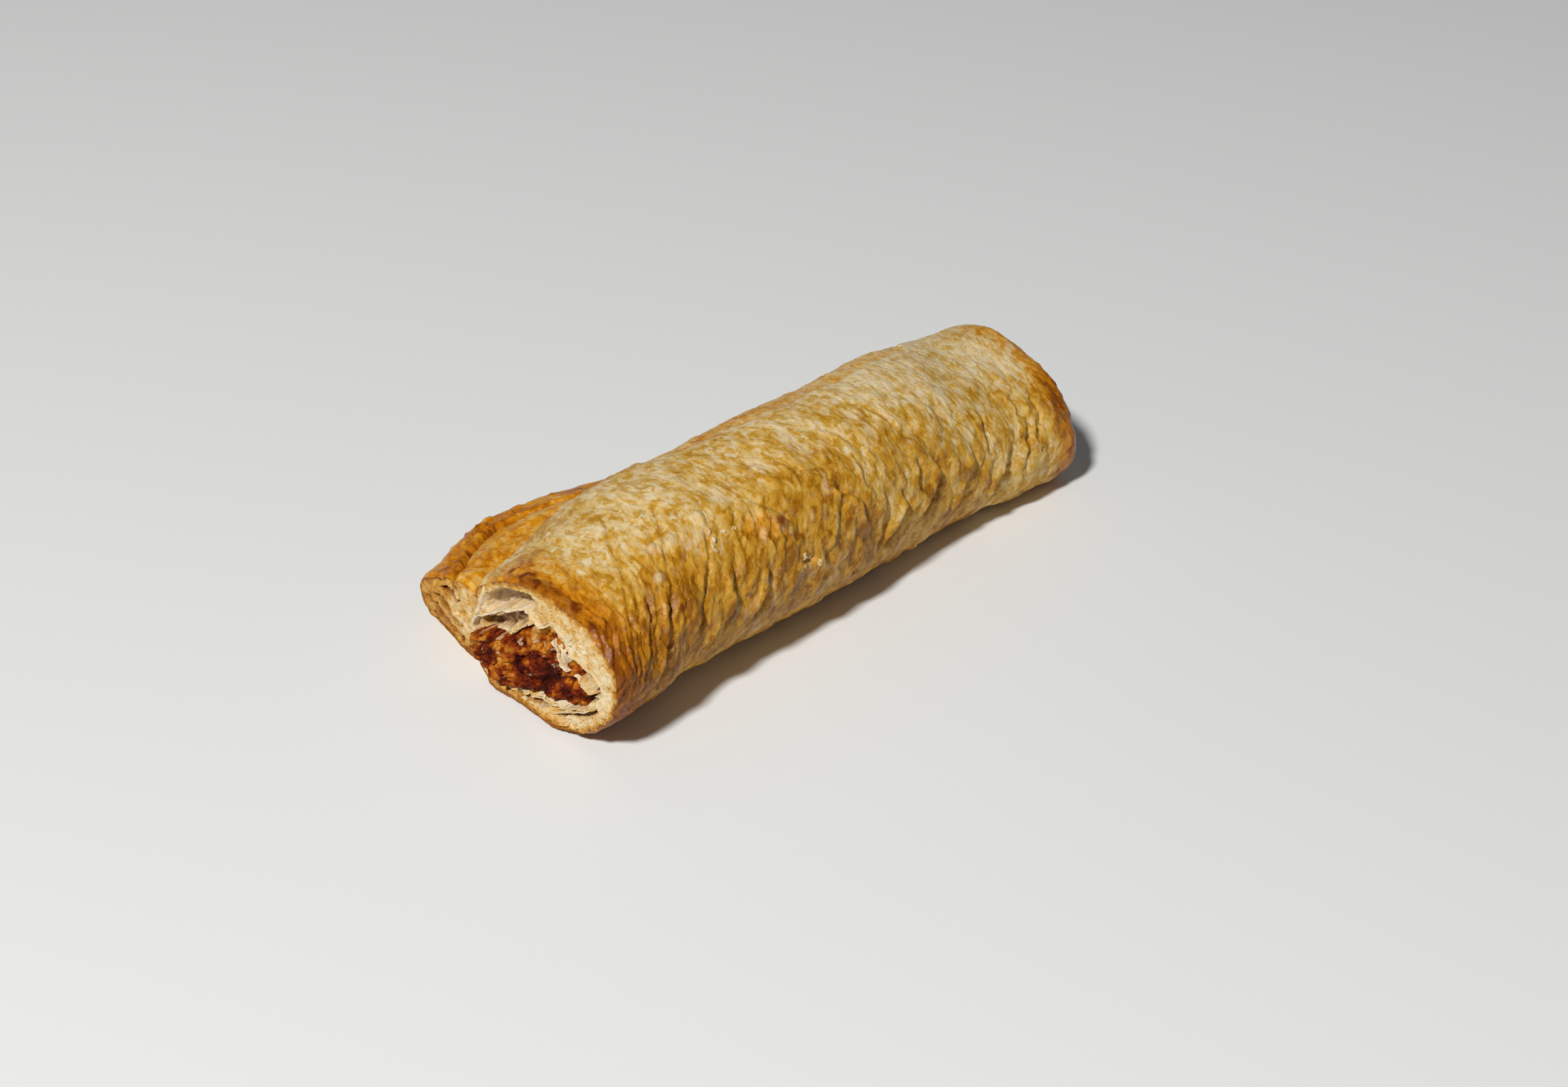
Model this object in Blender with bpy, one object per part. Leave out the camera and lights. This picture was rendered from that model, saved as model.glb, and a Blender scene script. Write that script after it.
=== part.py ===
"""Sausage roll: a flaky pastry tube with a crimped flap along one side and a meat filling.

Frame: +X runs from the near, cut end to the far end, +Y points to the flap's side, +Z is up.
The underside rests on z = 0. Lengths are in metres, and in mm where a comment says so.
"""

import bpy
import numpy as np

MM = 0.001

# Main sizes.
LENGTH = 170.0 * MM
REST_Y = 14.0 * MM            # middle of the flat underside, which is the frame's origin
FLAT_DEPTH = 1.4 * MM         # how far the soft underside has settled on the table

# Body of the tube, in mm. Each list runs in even steps from the near end to the far end.
BODY_HALF_WIDTH = [28.2, 30.0, 28.5, 25.6, 25.5, 24.9]
BODY_HALF_HEIGHT = [18.7, 20.2, 21.7, 22.5, 23.0, 22.6, 21.6, 19.3, 18.4]
BODY_CENTRE_Y = [8.8, 14.7, 13.8, 14.7, 17.6, 15.6]
BODY_LEAN = [0.27, 0.13, -0.02, -0.20]
BODY_SQUARENESS = 2.2
FAR_TAPER = 0.04              # share that the sections lose at the very end
FAR_TAPER_LENGTH = 0.06       # as a share of the length

# Flap, in mm: three circles that shrink from the root inside the body to the crimped edge.
FLAP_EDGE_Y = [52.5, 62.3, 56.8, 48.8, 44.0, 40.6]
FLAP_EDGE_Z = [10.9, 11.8, 13.2, 12.2, 11.0]
FLAP_WAIST_RADIUS = [9.9, 8.2, 7.2, 6.9, 6.9]
FLAP_EDGE_RADIUS = [6.3, 5.4, 4.7, 4.4]
FLAP_WAIST_PLACE = 0.6        # share of the way from root to edge
FLAP_ROOT_SHARE = 0.62        # root radius as a share of the body's half height
FLAP_ROOT_OFFSET_Y = 11.0 * MM
FLAP_ROOT_DROP = 4.5 * MM
FOLD_SOFTNESS = 1.5 * MM      # rounding where the body lies over the flap
WAIST_SOFTNESS = 2.0 * MM

# Every section is found by looking outward from one point inside it.
INNER_Y = 7.3 * MM            # from the body's centre
INNER_DROP = 8.0 * MM
LONGEST_REACH = 120.0 * MM
RAYS = 721
HALVINGS = 24

# Shares of the way round, counted from the underside over the flap, the top and the front.
EDGE_SHARE = 0.26             # the flap's edge
FOLD_SHARE = 0.41             # where the body lies over the flap
UNDER_POINTS = 14             # points under the flap
FLAP_POINTS = 19              # points over the flap
TUBE_POINTS = 41              # points over the top and the front
FLAP_START_SHARE = 0.23

# Unevenness of the skin.
LUMP_HEIGHT = 0.55 * MM
LUMP_SIZE = 46.0 * MM
RIPPLE_HEIGHT = 0.22 * MM
RIPPLE_SIZE = 15.0 * MM
END_ROUNDING = 0.7 * MM
END_ROUNDING_LENGTH = 1.6 * MM
CALM_HEIGHT = 5.0 * MM        # the skin is smooth below this, where it rests

# Creases of the front: place along the roll in mm, start and end share, depth and width in mm,
# and how far the crease leans along the roll, in mm.
CREASES = [
    (16.5, 0.59, 0.79, 1.1, 1.3, 12.0),
    (24.0, 0.71, 0.80, 0.7, 1.0, 8.0),
    (31.0, 0.66, 0.75, 0.6, 0.9, 9.0),
    (42.0, 0.68, 0.79, 1.4, 1.3, 6.0),
    (51.5, 0.72, 0.81, 1.4, 1.1, 7.0),
    (61.5, 0.76, 0.83, 0.6, 1.0, 5.0),
    (71.5, 0.73, 0.82, 1.0, 1.4, 2.0),
    (84.0, 0.67, 0.77, 1.1, 1.1, -5.0),
    (101.5, 0.72, 0.80, 1.5, 1.1, 8.0),
    (116.0, 0.70, 0.81, 1.3, 1.4, 11.0),
    (129.5, 0.72, 0.84, 0.9, 1.2, 10.0),
    (145.0, 0.74, 0.82, 1.0, 1.1, 8.0),
]
CREASE_MIDDLE = 0.75          # share at which a crease is at its own place
CREASE_TURN = 0.10            # share over which it swings from one side to the other
CREASE_FADE = 0.03            # share over which its ends fade
LIP_HEIGHT = 0.45             # raised lip beside a crease, as shares of its depth and width
LIP_PLACE = 1.7
LIP_WIDTH = 0.9
LEAN_SHARES = (0.50, 0.66, 0.84, 0.95)    # the lean grows and fades between these
STRAIGHT_END = 28.0 * MM      # toward the ends the creases turn square to the roll

# Dents, in mm: place along, distance from the flap's edge, half length, half width, depth.
DENTS = [
    (54.0, 88.5, 6.5, 4.0, 1.3),
    (64.5, 97.0, 3.0, 2.0, 1.5),
]

# Crimp of the flap, measured over its top from the edge. Places in mm, in even steps.
GROOVE_PLACE = [17.0, 11.5, 14.5, 15.5, 16.5, 14.0, 13.0, 12.0, 12.0]
GROOVE_STRENGTH = [0.9, 1.0, 0.9, 0.7, 0.6, 0.6]
GROOVE_WIDTH = 1.5 * MM
GROOVE_DEPTH = 1.5 * MM
RIM_WIDTH = 3.6 * MM
RIM_HEIGHT = 0.9 * MM
RIM_WAVE = 0.35               # unevenness of the rim, as a share of its height
RIM_WAVE_LENGTHS = (9.5 * MM, 4.1 * MM)
PILLOW_WIDTH = 4.0 * MM
PILLOW_HEIGHT = 0.7 * MM

# Cut near end. The flap's end stands back from the tube's.
FLAP_SETBACK = 2.0 * MM
SETBACK_FROM_Y = 30.0 * MM
SETBACK_TO_Y = 37.0 * MM
SETBACK_LENGTH = 14.0 * MM
UNDERSIDE_LIP = 1.4 * MM

# Hollows of the ends, in mm: middle y and z, half length, half width, turn in degrees; depth.
NEAR_PITS = [
    ((19.3, 28.3, 10.0, 2.9, -29.0), 6.0),
    ((18.5, 22.0, 8.0, 2.2, -28.0), 1.8),
    ((31.0, 17.0, 30.0, 1.6, -28.0), -0.6),
    ((-12.0, 20.2, 4.2, 3.0, 75.0), 3.0),
    ((-12.5, 11.5, 4.0, 1.5, -35.0), 1.6),
    ((4.5, 4.2, 6.0, 1.5, -20.0), 1.5),
    ((51.5, 12.0, 6.5, 0.9, 25.0), 2.2),
    ((51.0, 9.0, 7.0, 0.9, -5.0), 2.2),
    ((48.5, 16.5, 4.0, 0.8, -30.0), 1.6),
]
FAR_PITS = [
    ((17.0, 25.5, 9.0, 1.8, -10.0), 3.0),
    ((0.0, 20.0, 3.0, 1.8, 60.0), 2.0),
    ((36.5, 11.0, 5.0, 0.9, 0.0), 1.5),
]
FAR_WAVE = 0.6 * MM           # unevenness of the far end
NEAR_STEPS = [0.07, 0.20, 0.34, 0.49, 0.64, 0.80, 1.0]
FAR_STEPS = [0.25, 0.61, 1.0]

# Filling. Its reach at the near end, in mm, goes round in 15 degree steps from straight down.
GAP = 0.3 * MM
NEAR_CORE_REACH = [7.8, 8.9, 10.6, 12.9, 16.0, 19.5, 17.5, 13.0, 9.9, 8.8, 9.2, 10.2,
                   11.8, 14.2, 17.5, 17.6, 16.0, 17.2, 21.0, 16.5, 11.3, 9.0, 7.8, 7.4]
CORE_OFFSET_Y = 2.2 * MM      # from the body's centre
CORE_DROP = [3.8, 3.0, 3.0, 2.2, 0.8]
CORE_HALF_WIDTH = 15.0 * MM
CORE_HALF_HEIGHT = 10.5 * MM
CORE_TILT = 0.25
CORE_BLEND = 0.08             # share over which the ragged end turns into the oval
CORE_STRAIGHT = 9.0 * MM      # at both ends the section stays the same this far in
CORE_SINK = 1.0 * MM
CORE_BULGE = 4.4 * MM
CORE_BULGE_FROM_Y = 2.0 * MM
CORE_BULGE_TO_Y = 26.0 * MM
CORE_LUMP = 0.7 * MM
CORE_GRIT = 0.4 * MM
CORE_ROUNDING = 1.0 * MM
CORE_STEPS = [0.12, 0.34, 0.55, 0.73, 0.88, 1.0]
HOLE_STATIONS = [9.0, 13.0, 17.0, 22.0, 60.0, 120.0, 161.0]    # in mm

# Rows of points along the skin, in mm.
END_ROWS = [0.0, 0.8, 2.4, 6.0]
ROW_STEP = 5.3                # widest gap between rows
PASTRY_COLOUR = (0.62, 0.40, 0.17)
PASTRY_ROUGHNESS = 0.5
FILLING_COLOUR = (0.20, 0.055, 0.018)
FILLING_ROUGHNESS = 0.55


def ease(values, s):
    """Smooth value at s, 0 to 1, through evenly spaced key values."""
    keys = np.asarray(values, float)
    place = np.clip(s, 0, 1) * (len(keys) - 1)
    first = np.minimum(place.astype(int), len(keys) - 2)
    f = place - first
    before = keys[np.maximum(first - 1, 0)]
    left = keys[first]
    right = keys[first + 1]
    after = keys[np.minimum(first + 2, len(keys) - 1)]
    linear = (right - before) * f
    square = (2 * before - 5 * left + 4 * right - after) * f**2
    cubic = (3 * left - before - 3 * right + after) * f**3
    return 0.5 * (2 * left + linear + square + cubic)


def smooth_min(a, b, softness):
    h = np.clip(0.5 + 0.5 * (b - a) / softness, 0, 1)
    return b * (1 - h) + a * h - softness * h * (1 - h)


def smooth_step(value, low, high):
    """0 below low, 1 above high, with a soft rise between."""
    t = np.clip((value - low) / (high - low), 0, 1)
    return t * t * (3 - 2 * t)


def swell(points, seed, size, waves=9):
    """Gentle seeded unevenness, about -1 to 1, for points in space."""
    rng = np.random.default_rng(seed)
    total = np.zeros(points.shape[:-1])
    for _ in range(waves):
        direction = rng.normal(size=3)
        direction /= np.linalg.norm(direction)
        length = size * rng.uniform(0.7, 1.5)
        total += np.sin(points @ direction * 2 * np.pi / length + rng.uniform(0, 2 * np.pi))
    return total / np.sqrt(waves / 2) / 1.6


def section_sizes(s):
    """Sizes of the cross-sections at the shares s of the length, one row each."""
    s = np.asarray(s, float).reshape(-1, 1)
    into_taper = np.clip((s - 1 + FAR_TAPER_LENGTH) / FAR_TAPER_LENGTH, 0, 1)
    taper = 1 - FAR_TAPER * into_taper**2
    p = {
        "half_width": ease(BODY_HALF_WIDTH, s) * MM * taper,
        "half_height": ease(BODY_HALF_HEIGHT, s) * MM * taper,
        "centre_y": ease(BODY_CENTRE_Y, s) * MM,
        "lean": ease(BODY_LEAN, s),
        "edge_y": ease(FLAP_EDGE_Y, s) * MM,
        "edge_z": ease(FLAP_EDGE_Z, s) * MM,
        "edge_r": ease(FLAP_EDGE_RADIUS, s) * MM,
        "waist_r": ease(FLAP_WAIST_RADIUS, s) * MM,
    }
    p["centre_z"] = p["half_height"] - FLAT_DEPTH
    p["root_y"] = p["centre_y"] + FLAP_ROOT_OFFSET_Y
    p["root_z"] = p["centre_z"] - FLAP_ROOT_DROP
    p["root_r"] = p["half_height"] * FLAP_ROOT_SHARE
    p["waist_y"] = p["root_y"] + FLAP_WAIST_PLACE * (p["edge_y"] - p["root_y"])
    p["waist_z"] = p["root_z"] + FLAP_WAIST_PLACE * (p["edge_z"] - p["root_z"])
    p["inner_y"] = p["centre_y"] + INNER_Y
    p["inner_z"] = p["centre_z"] - INNER_DROP
    return p


def body_distance(y, z, p):
    """Below 0 inside the body's leaning, slightly squared oval."""
    u = (y - p["centre_y"]) / p["half_width"]
    v = (z - p["centre_z"]) / p["half_height"] + p["lean"] * u
    reach = (np.abs(u) ** BODY_SQUARENESS + np.abs(v) ** BODY_SQUARENESS) ** (1 / BODY_SQUARENESS)
    return (reach - 1) * np.minimum(p["half_width"], p["half_height"])


def taper_distance(y, z, y0, z0, r0, y1, z1, r1):
    """Below 0 inside the hull of two circles."""
    dy = y1 - y0
    dz = z1 - z0
    t = np.clip(((y - y0) * dy + (z - z0) * dz) / (dy * dy + dz * dz), 0, 1)
    return np.hypot(y - y0 - t * dy, z - z0 - t * dz) - (r0 + t * (r1 - r0))


def flap_distance(y, z, p):
    inner = taper_distance(y, z, p["root_y"], p["root_z"], p["root_r"],
                           p["waist_y"], p["waist_z"], p["waist_r"])
    outer = taper_distance(y, z, p["waist_y"], p["waist_z"], p["waist_r"],
                           p["edge_y"], p["edge_z"], p["edge_r"])
    return smooth_min(inner, outer, WAIST_SOFTNESS)


def section_rings(s, shares):
    """Points of the smooth sections, and their distance along the skin from the flap's edge."""
    p = section_sizes(s)
    angle = np.linspace(-0.5 * np.pi, 1.5 * np.pi, RAYS)[None, :]
    near = np.zeros((len(p["half_width"]), RAYS))
    far = near + LONGEST_REACH
    for _ in range(HALVINGS):
        middle = (near + far) / 2
        y = p["inner_y"] + middle * np.cos(angle)
        z = p["inner_z"] + middle * np.sin(angle)
        inside = smooth_min(body_distance(y, z, p), flap_distance(y, z, p), FOLD_SOFTNESS) < 0
        near = np.where(inside, middle, near)
        far = np.where(inside, far, middle)
    y = p["inner_y"] + near * np.cos(angle)
    z = p["inner_z"] + near * np.sin(angle)
    body_first = body_distance(y, z, p) < flap_distance(y, z, p)
    ring_y = np.zeros((len(y), len(shares)))
    ring_z = np.zeros_like(ring_y)
    from_edge = np.zeros_like(ring_y)
    for row in range(len(y)):
        step = np.hypot(np.diff(y[row]), np.diff(z[row]))
        around = np.concatenate([[0], np.cumsum(step)])
        edge = int(np.argmax(y[row] + 0.2 * z[row]))
        fold = edge + int(np.argmax(body_first[row, edge:]))
        wanted = np.interp(shares, [0, EDGE_SHARE, FOLD_SHARE, 1],
                           [0, around[edge], around[fold], around[-1]])
        ring_y[row] = np.interp(wanted, around, y[row])
        ring_z[row] = np.interp(wanted, around, z[row])
        from_edge[row] = wanted - around[edge]
    return ring_y, ring_z, from_edge


def lean_of_creases(along, shares):
    """How far a crease at this place leads or lags, as creases lean over the front."""
    places = [crease[0] * MM for crease in CREASES]
    leans = [crease[5] * MM for crease in CREASES]
    lean = -np.interp(along, places, leans) * np.tanh((shares - CREASE_MIDDLE) / CREASE_TURN)
    start, full, end, gone = LEAN_SHARES
    on_front = smooth_step(shares, start, full) * (1 - smooth_step(shares, end, gone))
    from_ends = smooth_step(along, 0, STRAIGHT_END) * smooth_step(LENGTH - along, 0, STRAIGHT_END)
    return lean * on_front * from_ends


def creases(along, shares):
    height = np.zeros_like(along)
    for place, start, stop, deep, wide, _ in CREASES:
        middle = place * MM + lean_of_creases(place * MM + 0 * shares, shares)
        off = (along - middle) / (wide * MM)
        arc = smooth_step(shares, start - CREASE_FADE, start + CREASE_FADE)
        arc = arc * (1 - smooth_step(shares, stop - CREASE_FADE, stop + CREASE_FADE))
        lip = LIP_HEIGHT * np.exp(-((off - LIP_PLACE) / LIP_WIDTH) ** 2)
        height = height + deep * MM * arc * (lip - np.exp(-off**2))
    return height


def flap_relief(along, shares, from_edge):
    """Crimped groove between the thick, blistered rim and the inner strip of the flap."""
    s = along / LENGTH
    place = ease(GROOVE_PLACE, s) * MM
    on_top = smooth_step(FOLD_SHARE - shares, 0.0, 0.02)
    groove = np.exp(-((from_edge - place) / GROOVE_WIDTH) ** 2)
    rim = np.exp(-((from_edge - place + RIM_WIDTH) / RIM_WIDTH) ** 2)
    pillow = np.exp(-((from_edge - place - PILLOW_WIDTH) / PILLOW_WIDTH) ** 2)
    long_wave, short_wave = RIM_WAVE_LENGTHS
    waves = 1 + RIM_WAVE * np.sin(along / long_wave + 1.0) * np.sin(along / short_wave)
    raised = RIM_HEIGHT * waves * rim + PILLOW_HEIGHT * pillow
    return ease(GROOVE_STRENGTH, s) * on_top * (raised - GROOVE_DEPTH * groove)


def dents(along, from_edge):
    """The torn, sunken patch and the small hole on the front."""
    height = np.zeros_like(along)
    for place, around, half_length, half_width, deep in DENTS:
        along_off = (along / MM - place) / half_length
        around_off = (from_edge / MM - around) / half_width
        height = height - deep * MM * (1 - smooth_step(np.hypot(along_off, around_off), 0.35, 1.0))
    return height


def skin(rows, shares):
    """Points of the pastry's outer skin, one ring of points for each row."""
    stations = np.linspace(0, 1, 141)
    ring_y, ring_z, ring_edge = section_rings(stations, shares)
    base = np.stack([np.repeat(stations[:, None] * LENGTH, len(shares), 1), ring_y, ring_z], -1)
    along_roll = np.gradient(base, axis=0)
    around = np.roll(base, -1, axis=1) - np.roll(base, 1, axis=1)
    normal = np.cross(around, along_roll)
    normal /= np.linalg.norm(normal, axis=-1, keepdims=True)
    along = rows[:, None] + lean_of_creases(rows[:, None], shares[None, :])
    points = np.empty(along.shape + (3,))
    out = np.empty_like(points)
    edge = np.empty_like(along)
    for j in range(len(shares)):
        edge[:, j] = np.interp(along[:, j], base[:, j, 0], ring_edge[:, j])
        for axis in range(3):
            points[:, j, axis] = np.interp(along[:, j], base[:, j, 0], base[:, j, axis])
            out[:, j, axis] = np.interp(along[:, j], base[:, j, 0], normal[:, j, axis])
    share = np.broadcast_to(shares[None, :], along.shape)
    height = LUMP_HEIGHT * swell(points, 11, LUMP_SIZE) + RIPPLE_HEIGHT * swell(points, 12, RIPPLE_SIZE)
    height = height + creases(along, share) + flap_relief(along, share, edge) + dents(along, edge)
    to_end = np.minimum(rows, LENGTH - rows)[:, None]
    height = height - END_ROUNDING * (1 - smooth_step(to_end, 0, END_ROUNDING_LENGTH))
    height = height * smooth_step(points[..., 2], -1 * MM, CALM_HEIGHT)
    points = points + out * height[..., None]
    points[..., 0] = along + 0.25 * (points[..., 0] - along) * smooth_step(to_end, 0, 4 * MM)
    points[..., 2] = np.maximum(points[..., 2], 0)
    setback = FLAP_SETBACK * smooth_step(points[..., 1], SETBACK_FROM_Y, SETBACK_TO_Y)
    points[..., 0] += setback * (1 - smooth_step(rows, 0, SETBACK_LENGTH))[:, None]
    return points


def skin_rows():
    """Places along the roll: three rows at each crease and even steps between."""
    keys = END_ROWS + [LENGTH / MM - row for row in END_ROWS[:3]]
    for place, _, _, _, wide, _ in CREASES:
        keys += [place - 1.3 * wide, place, place + 1.5 * wide]
    keys = sorted(keys)
    rows = []
    for left, right in zip(keys[:-1], keys[1:]):
        parts = int((right - left) // ROW_STEP) + 1
        rows += [left + (right - left) * k / parts for k in range(parts)]
    rows.append(keys[-1])
    return np.array(rows) * MM


def skin_shares():
    under = np.linspace(0, FLAP_START_SHARE, UNDER_POINTS, endpoint=False)
    flap = np.linspace(FLAP_START_SHARE, FOLD_SHARE, FLAP_POINTS, endpoint=False)
    tube = np.linspace(FOLD_SHARE, 1, TUBE_POINTS, endpoint=False)
    return np.concatenate([under, flap, tube])


def core_centre(s):
    """Middle of the filling: y and z."""
    p = section_sizes(s)
    y = p["centre_y"][:, 0] + CORE_OFFSET_Y
    z = p["centre_z"][:, 0] - ease(CORE_DROP, np.atleast_1d(s)) * MM
    return y, z


def core_radius(s, angle):
    """Reach of the filling from its middle, ragged at the near end and a plain oval beyond."""
    turn = ((angle + 0.5 * np.pi) / (2 * np.pi)) % 1.0
    keys = NEAR_CORE_REACH[-2:] + NEAR_CORE_REACH + NEAR_CORE_REACH[:3]
    ragged = ease(keys, (turn * len(NEAR_CORE_REACH) + 2) / (len(keys) - 1)) * MM
    lean = angle + CORE_TILT
    oval = 1 / np.hypot(np.cos(lean) / CORE_HALF_WIDTH, np.sin(lean) / CORE_HALF_HEIGHT)
    oval = oval * (1 + 0.05 * np.sin(3 * angle + 0.7) + 0.04 * np.sin(5 * angle))
    near = 1 - smooth_step(s, 0.0, CORE_BLEND)
    return ragged * near + oval * (1 - near)


def core_section(s, angle, gap):
    """Outline of the filling at the share s, or of its hole where the gap is 0."""
    centre_y, centre_z = core_centre(s)
    reach = core_radius(s, angle)
    slope = (core_radius(s, angle + 0.04) - core_radius(s, angle - 0.04)) / 0.08 / reach
    reach = reach - gap * np.sqrt(1 + slope**2)
    return centre_y + reach * np.cos(angle), centre_z + reach * np.sin(angle)


def core_ring(along, near_angle, far_angle, gap):
    """A ring round the filling; its directions turn from the near end's to the far end's."""
    share = np.clip((along - CORE_STRAIGHT) / (LENGTH - 2 * CORE_STRAIGHT), 0, 1)
    turn = (far_angle - near_angle + np.pi) % (2 * np.pi) - np.pi
    y, z = core_section(share, near_angle + turn * share, gap)
    return np.stack([np.full_like(y, along), y, z], -1)


def pit_depth(y, z, pit):
    """1 inside a leaning oval, fading to 0 at its rim."""
    middle_y, middle_z, half_long, half_short, degrees = pit
    turn = np.radians(degrees)
    dy = y / MM - middle_y
    dz = z / MM - middle_z
    along = dy * np.cos(turn) + dz * np.sin(turn)
    across = dz * np.cos(turn) - dy * np.sin(turn)
    return 1 - smooth_step(np.hypot(along / half_long, across / half_short), 0.55, 1.1)


def near_face_offset(y, z):
    """How far the cut end stands in, toward the far end, at a place on it."""
    offset = FLAP_SETBACK * smooth_step(y, SETBACK_FROM_Y, SETBACK_TO_Y)
    for pit, depth in NEAR_PITS:
        offset = offset + depth * MM * pit_depth(y, z, pit)
    under = (1 - smooth_step(z, 2 * MM, 6 * MM)) * (1 - smooth_step(y, 24 * MM, 32 * MM))
    return offset - UNDERSIDE_LIP * under * smooth_step(y, -6 * MM, 4 * MM)


def far_face_offset(y, z):
    offset = FAR_WAVE * np.sin(y / (5 * MM)) * np.cos(z / (6 * MM))
    for pit, depth in FAR_PITS:
        offset = offset + depth * MM * pit_depth(y, z, pit)
    return offset


def core_end_offset(y, z, far):
    """How far the filling's end stands in (above 0) or bulges out (below 0)."""
    points = np.stack([y, z, np.full_like(y, 9 * MM if far else 0)], -1)
    crust = CORE_LUMP * swell(points, 21, 8 * MM) + CORE_GRIT * swell(points, 22, 4 * MM)
    bulge = 0 if far else smooth_step(y, CORE_BULGE_FROM_Y, CORE_BULGE_TO_Y)
    return CORE_SINK - CORE_BULGE * bulge + crust


def pastry_face(ring, far):
    """Rings of an end of the pastry, from the skin's last ring to the hole; their directions."""
    s = 1.0 if far else 0.0
    centre_y, centre_z = core_centre(s)
    angle = np.arctan2(ring[:, 2] - centre_z, ring[:, 1] - centre_y)
    hole_y, hole_z = core_section(s, angle, 0.0)
    rings = []
    for f in FAR_STEPS if far else NEAR_STEPS:
        y = ring[:, 1] + (hole_y - ring[:, 1]) * f
        z = ring[:, 2] + (hole_z - ring[:, 2]) * f
        x = LENGTH - far_face_offset(y, z) if far else near_face_offset(y, z)
        rings.append(np.stack([x, y, z], -1))
    return rings, angle


def core_face(angle, far):
    """Rings of an end of the filling, from its middle to its rim."""
    s = 1.0 if far else 0.0
    centre_y, centre_z = core_centre(s)
    rim_y, rim_z = core_section(s, angle, GAP)
    rings = []
    for f in CORE_STEPS:
        y = centre_y + (rim_y - centre_y) * f
        z = centre_z + (rim_z - centre_z) * f
        offset = core_end_offset(y, z, far) + CORE_ROUNDING * smooth_step(f, 0.8, 1.0) ** 2
        x = LENGTH - offset if far else offset
        rings.append(np.stack([x, y, z], -1))
    return rings


def make_object(name, rings, closed, collection, material):
    """Joins rings of equal length. A closed row of rings is a tube, an open one ends in points."""
    count = len(rings[0])
    shift = np.array([LENGTH / 2, REST_Y, 0])
    points = [tuple(point) for point in np.concatenate(rings) - shift]
    faces = []
    for i in range(len(rings) if closed else len(rings) - 1):
        here = i * count
        there = ((i + 1) % len(rings)) * count
        for j in range(count):
            k = (j + 1) % count
            faces.append((here + j, here + k, there + k, there + j))
    if not closed:
        last = (len(rings) - 1) * count
        points.append(tuple(rings[0].mean(axis=0) - shift))
        points.append(tuple(rings[-1].mean(axis=0) - shift))
        for j in range(count):
            k = (j + 1) % count
            faces.append((len(points) - 2, k, j))
            faces.append((len(points) - 1, last + j, last + k))
    mesh = bpy.data.meshes.new(name)
    mesh.from_pydata(points, [], faces)
    mesh.validate()
    mesh.update()
    mesh.materials.append(material)
    collection.objects.link(bpy.data.objects.new(name, mesh))


def make_material(name, colour, roughness):
    material = bpy.data.materials.new(name)
    material.use_nodes = True
    shader = material.node_tree.nodes["Principled BSDF"]
    shader.inputs["Base Color"].default_value = (*colour, 1)
    shader.inputs["Roughness"].default_value = roughness
    shader.inputs["Metallic"].default_value = 0
    material.diffuse_color = (*colour, 1)
    return material


def build():
    for old in list(bpy.data.objects):
        bpy.data.objects.remove(old, do_unlink=True)
    collection = bpy.data.collections.new("sausage_roll")
    bpy.context.scene.collection.children.link(collection)

    outer = skin(skin_rows(), skin_shares())
    near_face, near_angle = pastry_face(outer[0], False)
    far_face, far_angle = pastry_face(outer[-1], True)
    stations = [station * MM for station in HOLE_STATIONS]
    wall = [core_ring(along, near_angle, far_angle, 0.0) for along in stations]
    sides = [core_ring(along, near_angle, far_angle, GAP) for along in stations]

    pastry = make_material("baked_pastry", PASTRY_COLOUR, PASTRY_ROUGHNESS)
    crust = list(outer) + far_face + wall[::-1] + near_face[::-1]
    make_object("pastry", crust, True, collection, pastry)
    filling = make_material("meat_filling", FILLING_COLOUR, FILLING_ROUGHNESS)
    meat = core_face(near_angle, False) + sides + core_face(far_angle, True)[::-1]
    make_object("filling", meat, False, collection, filling)


build()
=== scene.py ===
"""Sausage roll, dressed: flaky skin with creases and browning, cut ends and a crusty meat filling."""

import math
from types import SimpleNamespace

import bpy
import numpy as np
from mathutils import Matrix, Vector


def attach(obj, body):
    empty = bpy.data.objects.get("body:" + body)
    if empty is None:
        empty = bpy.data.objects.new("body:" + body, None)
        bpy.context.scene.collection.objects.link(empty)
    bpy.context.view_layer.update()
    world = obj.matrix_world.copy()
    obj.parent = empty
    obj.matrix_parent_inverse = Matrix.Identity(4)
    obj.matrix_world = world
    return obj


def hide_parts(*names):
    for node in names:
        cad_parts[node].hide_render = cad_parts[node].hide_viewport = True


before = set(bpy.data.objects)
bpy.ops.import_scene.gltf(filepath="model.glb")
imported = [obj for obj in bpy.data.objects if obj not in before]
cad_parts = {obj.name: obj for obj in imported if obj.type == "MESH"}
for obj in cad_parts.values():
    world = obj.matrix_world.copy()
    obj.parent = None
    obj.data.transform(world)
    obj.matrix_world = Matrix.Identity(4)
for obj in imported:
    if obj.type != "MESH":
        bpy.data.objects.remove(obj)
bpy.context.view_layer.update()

MM = 0.001

# Sizes of the roll, as in its solids.
LENGTH = 170.0 * MM
REST_Y = 14.0 * MM            # middle of the flat underside, which is the frame's origin
FLAT_DEPTH = 1.4 * MM         # how far the soft underside has settled on the table

# Body of the tube, in mm. Each list runs in even steps from the near end to the far end.
BODY_HALF_WIDTH = [28.2, 30, 28.5, 25.6, 25.5, 24.9]
BODY_HALF_HEIGHT = [18.7, 20.2, 21.7, 22.5, 23, 22.6, 21.6, 19.3, 18.4]
BODY_CENTRE_Y = [8.8, 14.7, 13.8, 14.7, 17.6, 15.6]
BODY_LEAN = [0.27, 0.13, -0.02, -0.2]
BODY_SQUARENESS = 2.2
FAR_TAPER = 0.04              # share that the sections lose at the very end
FAR_TAPER_LENGTH = 0.06       # as a share of the length

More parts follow.
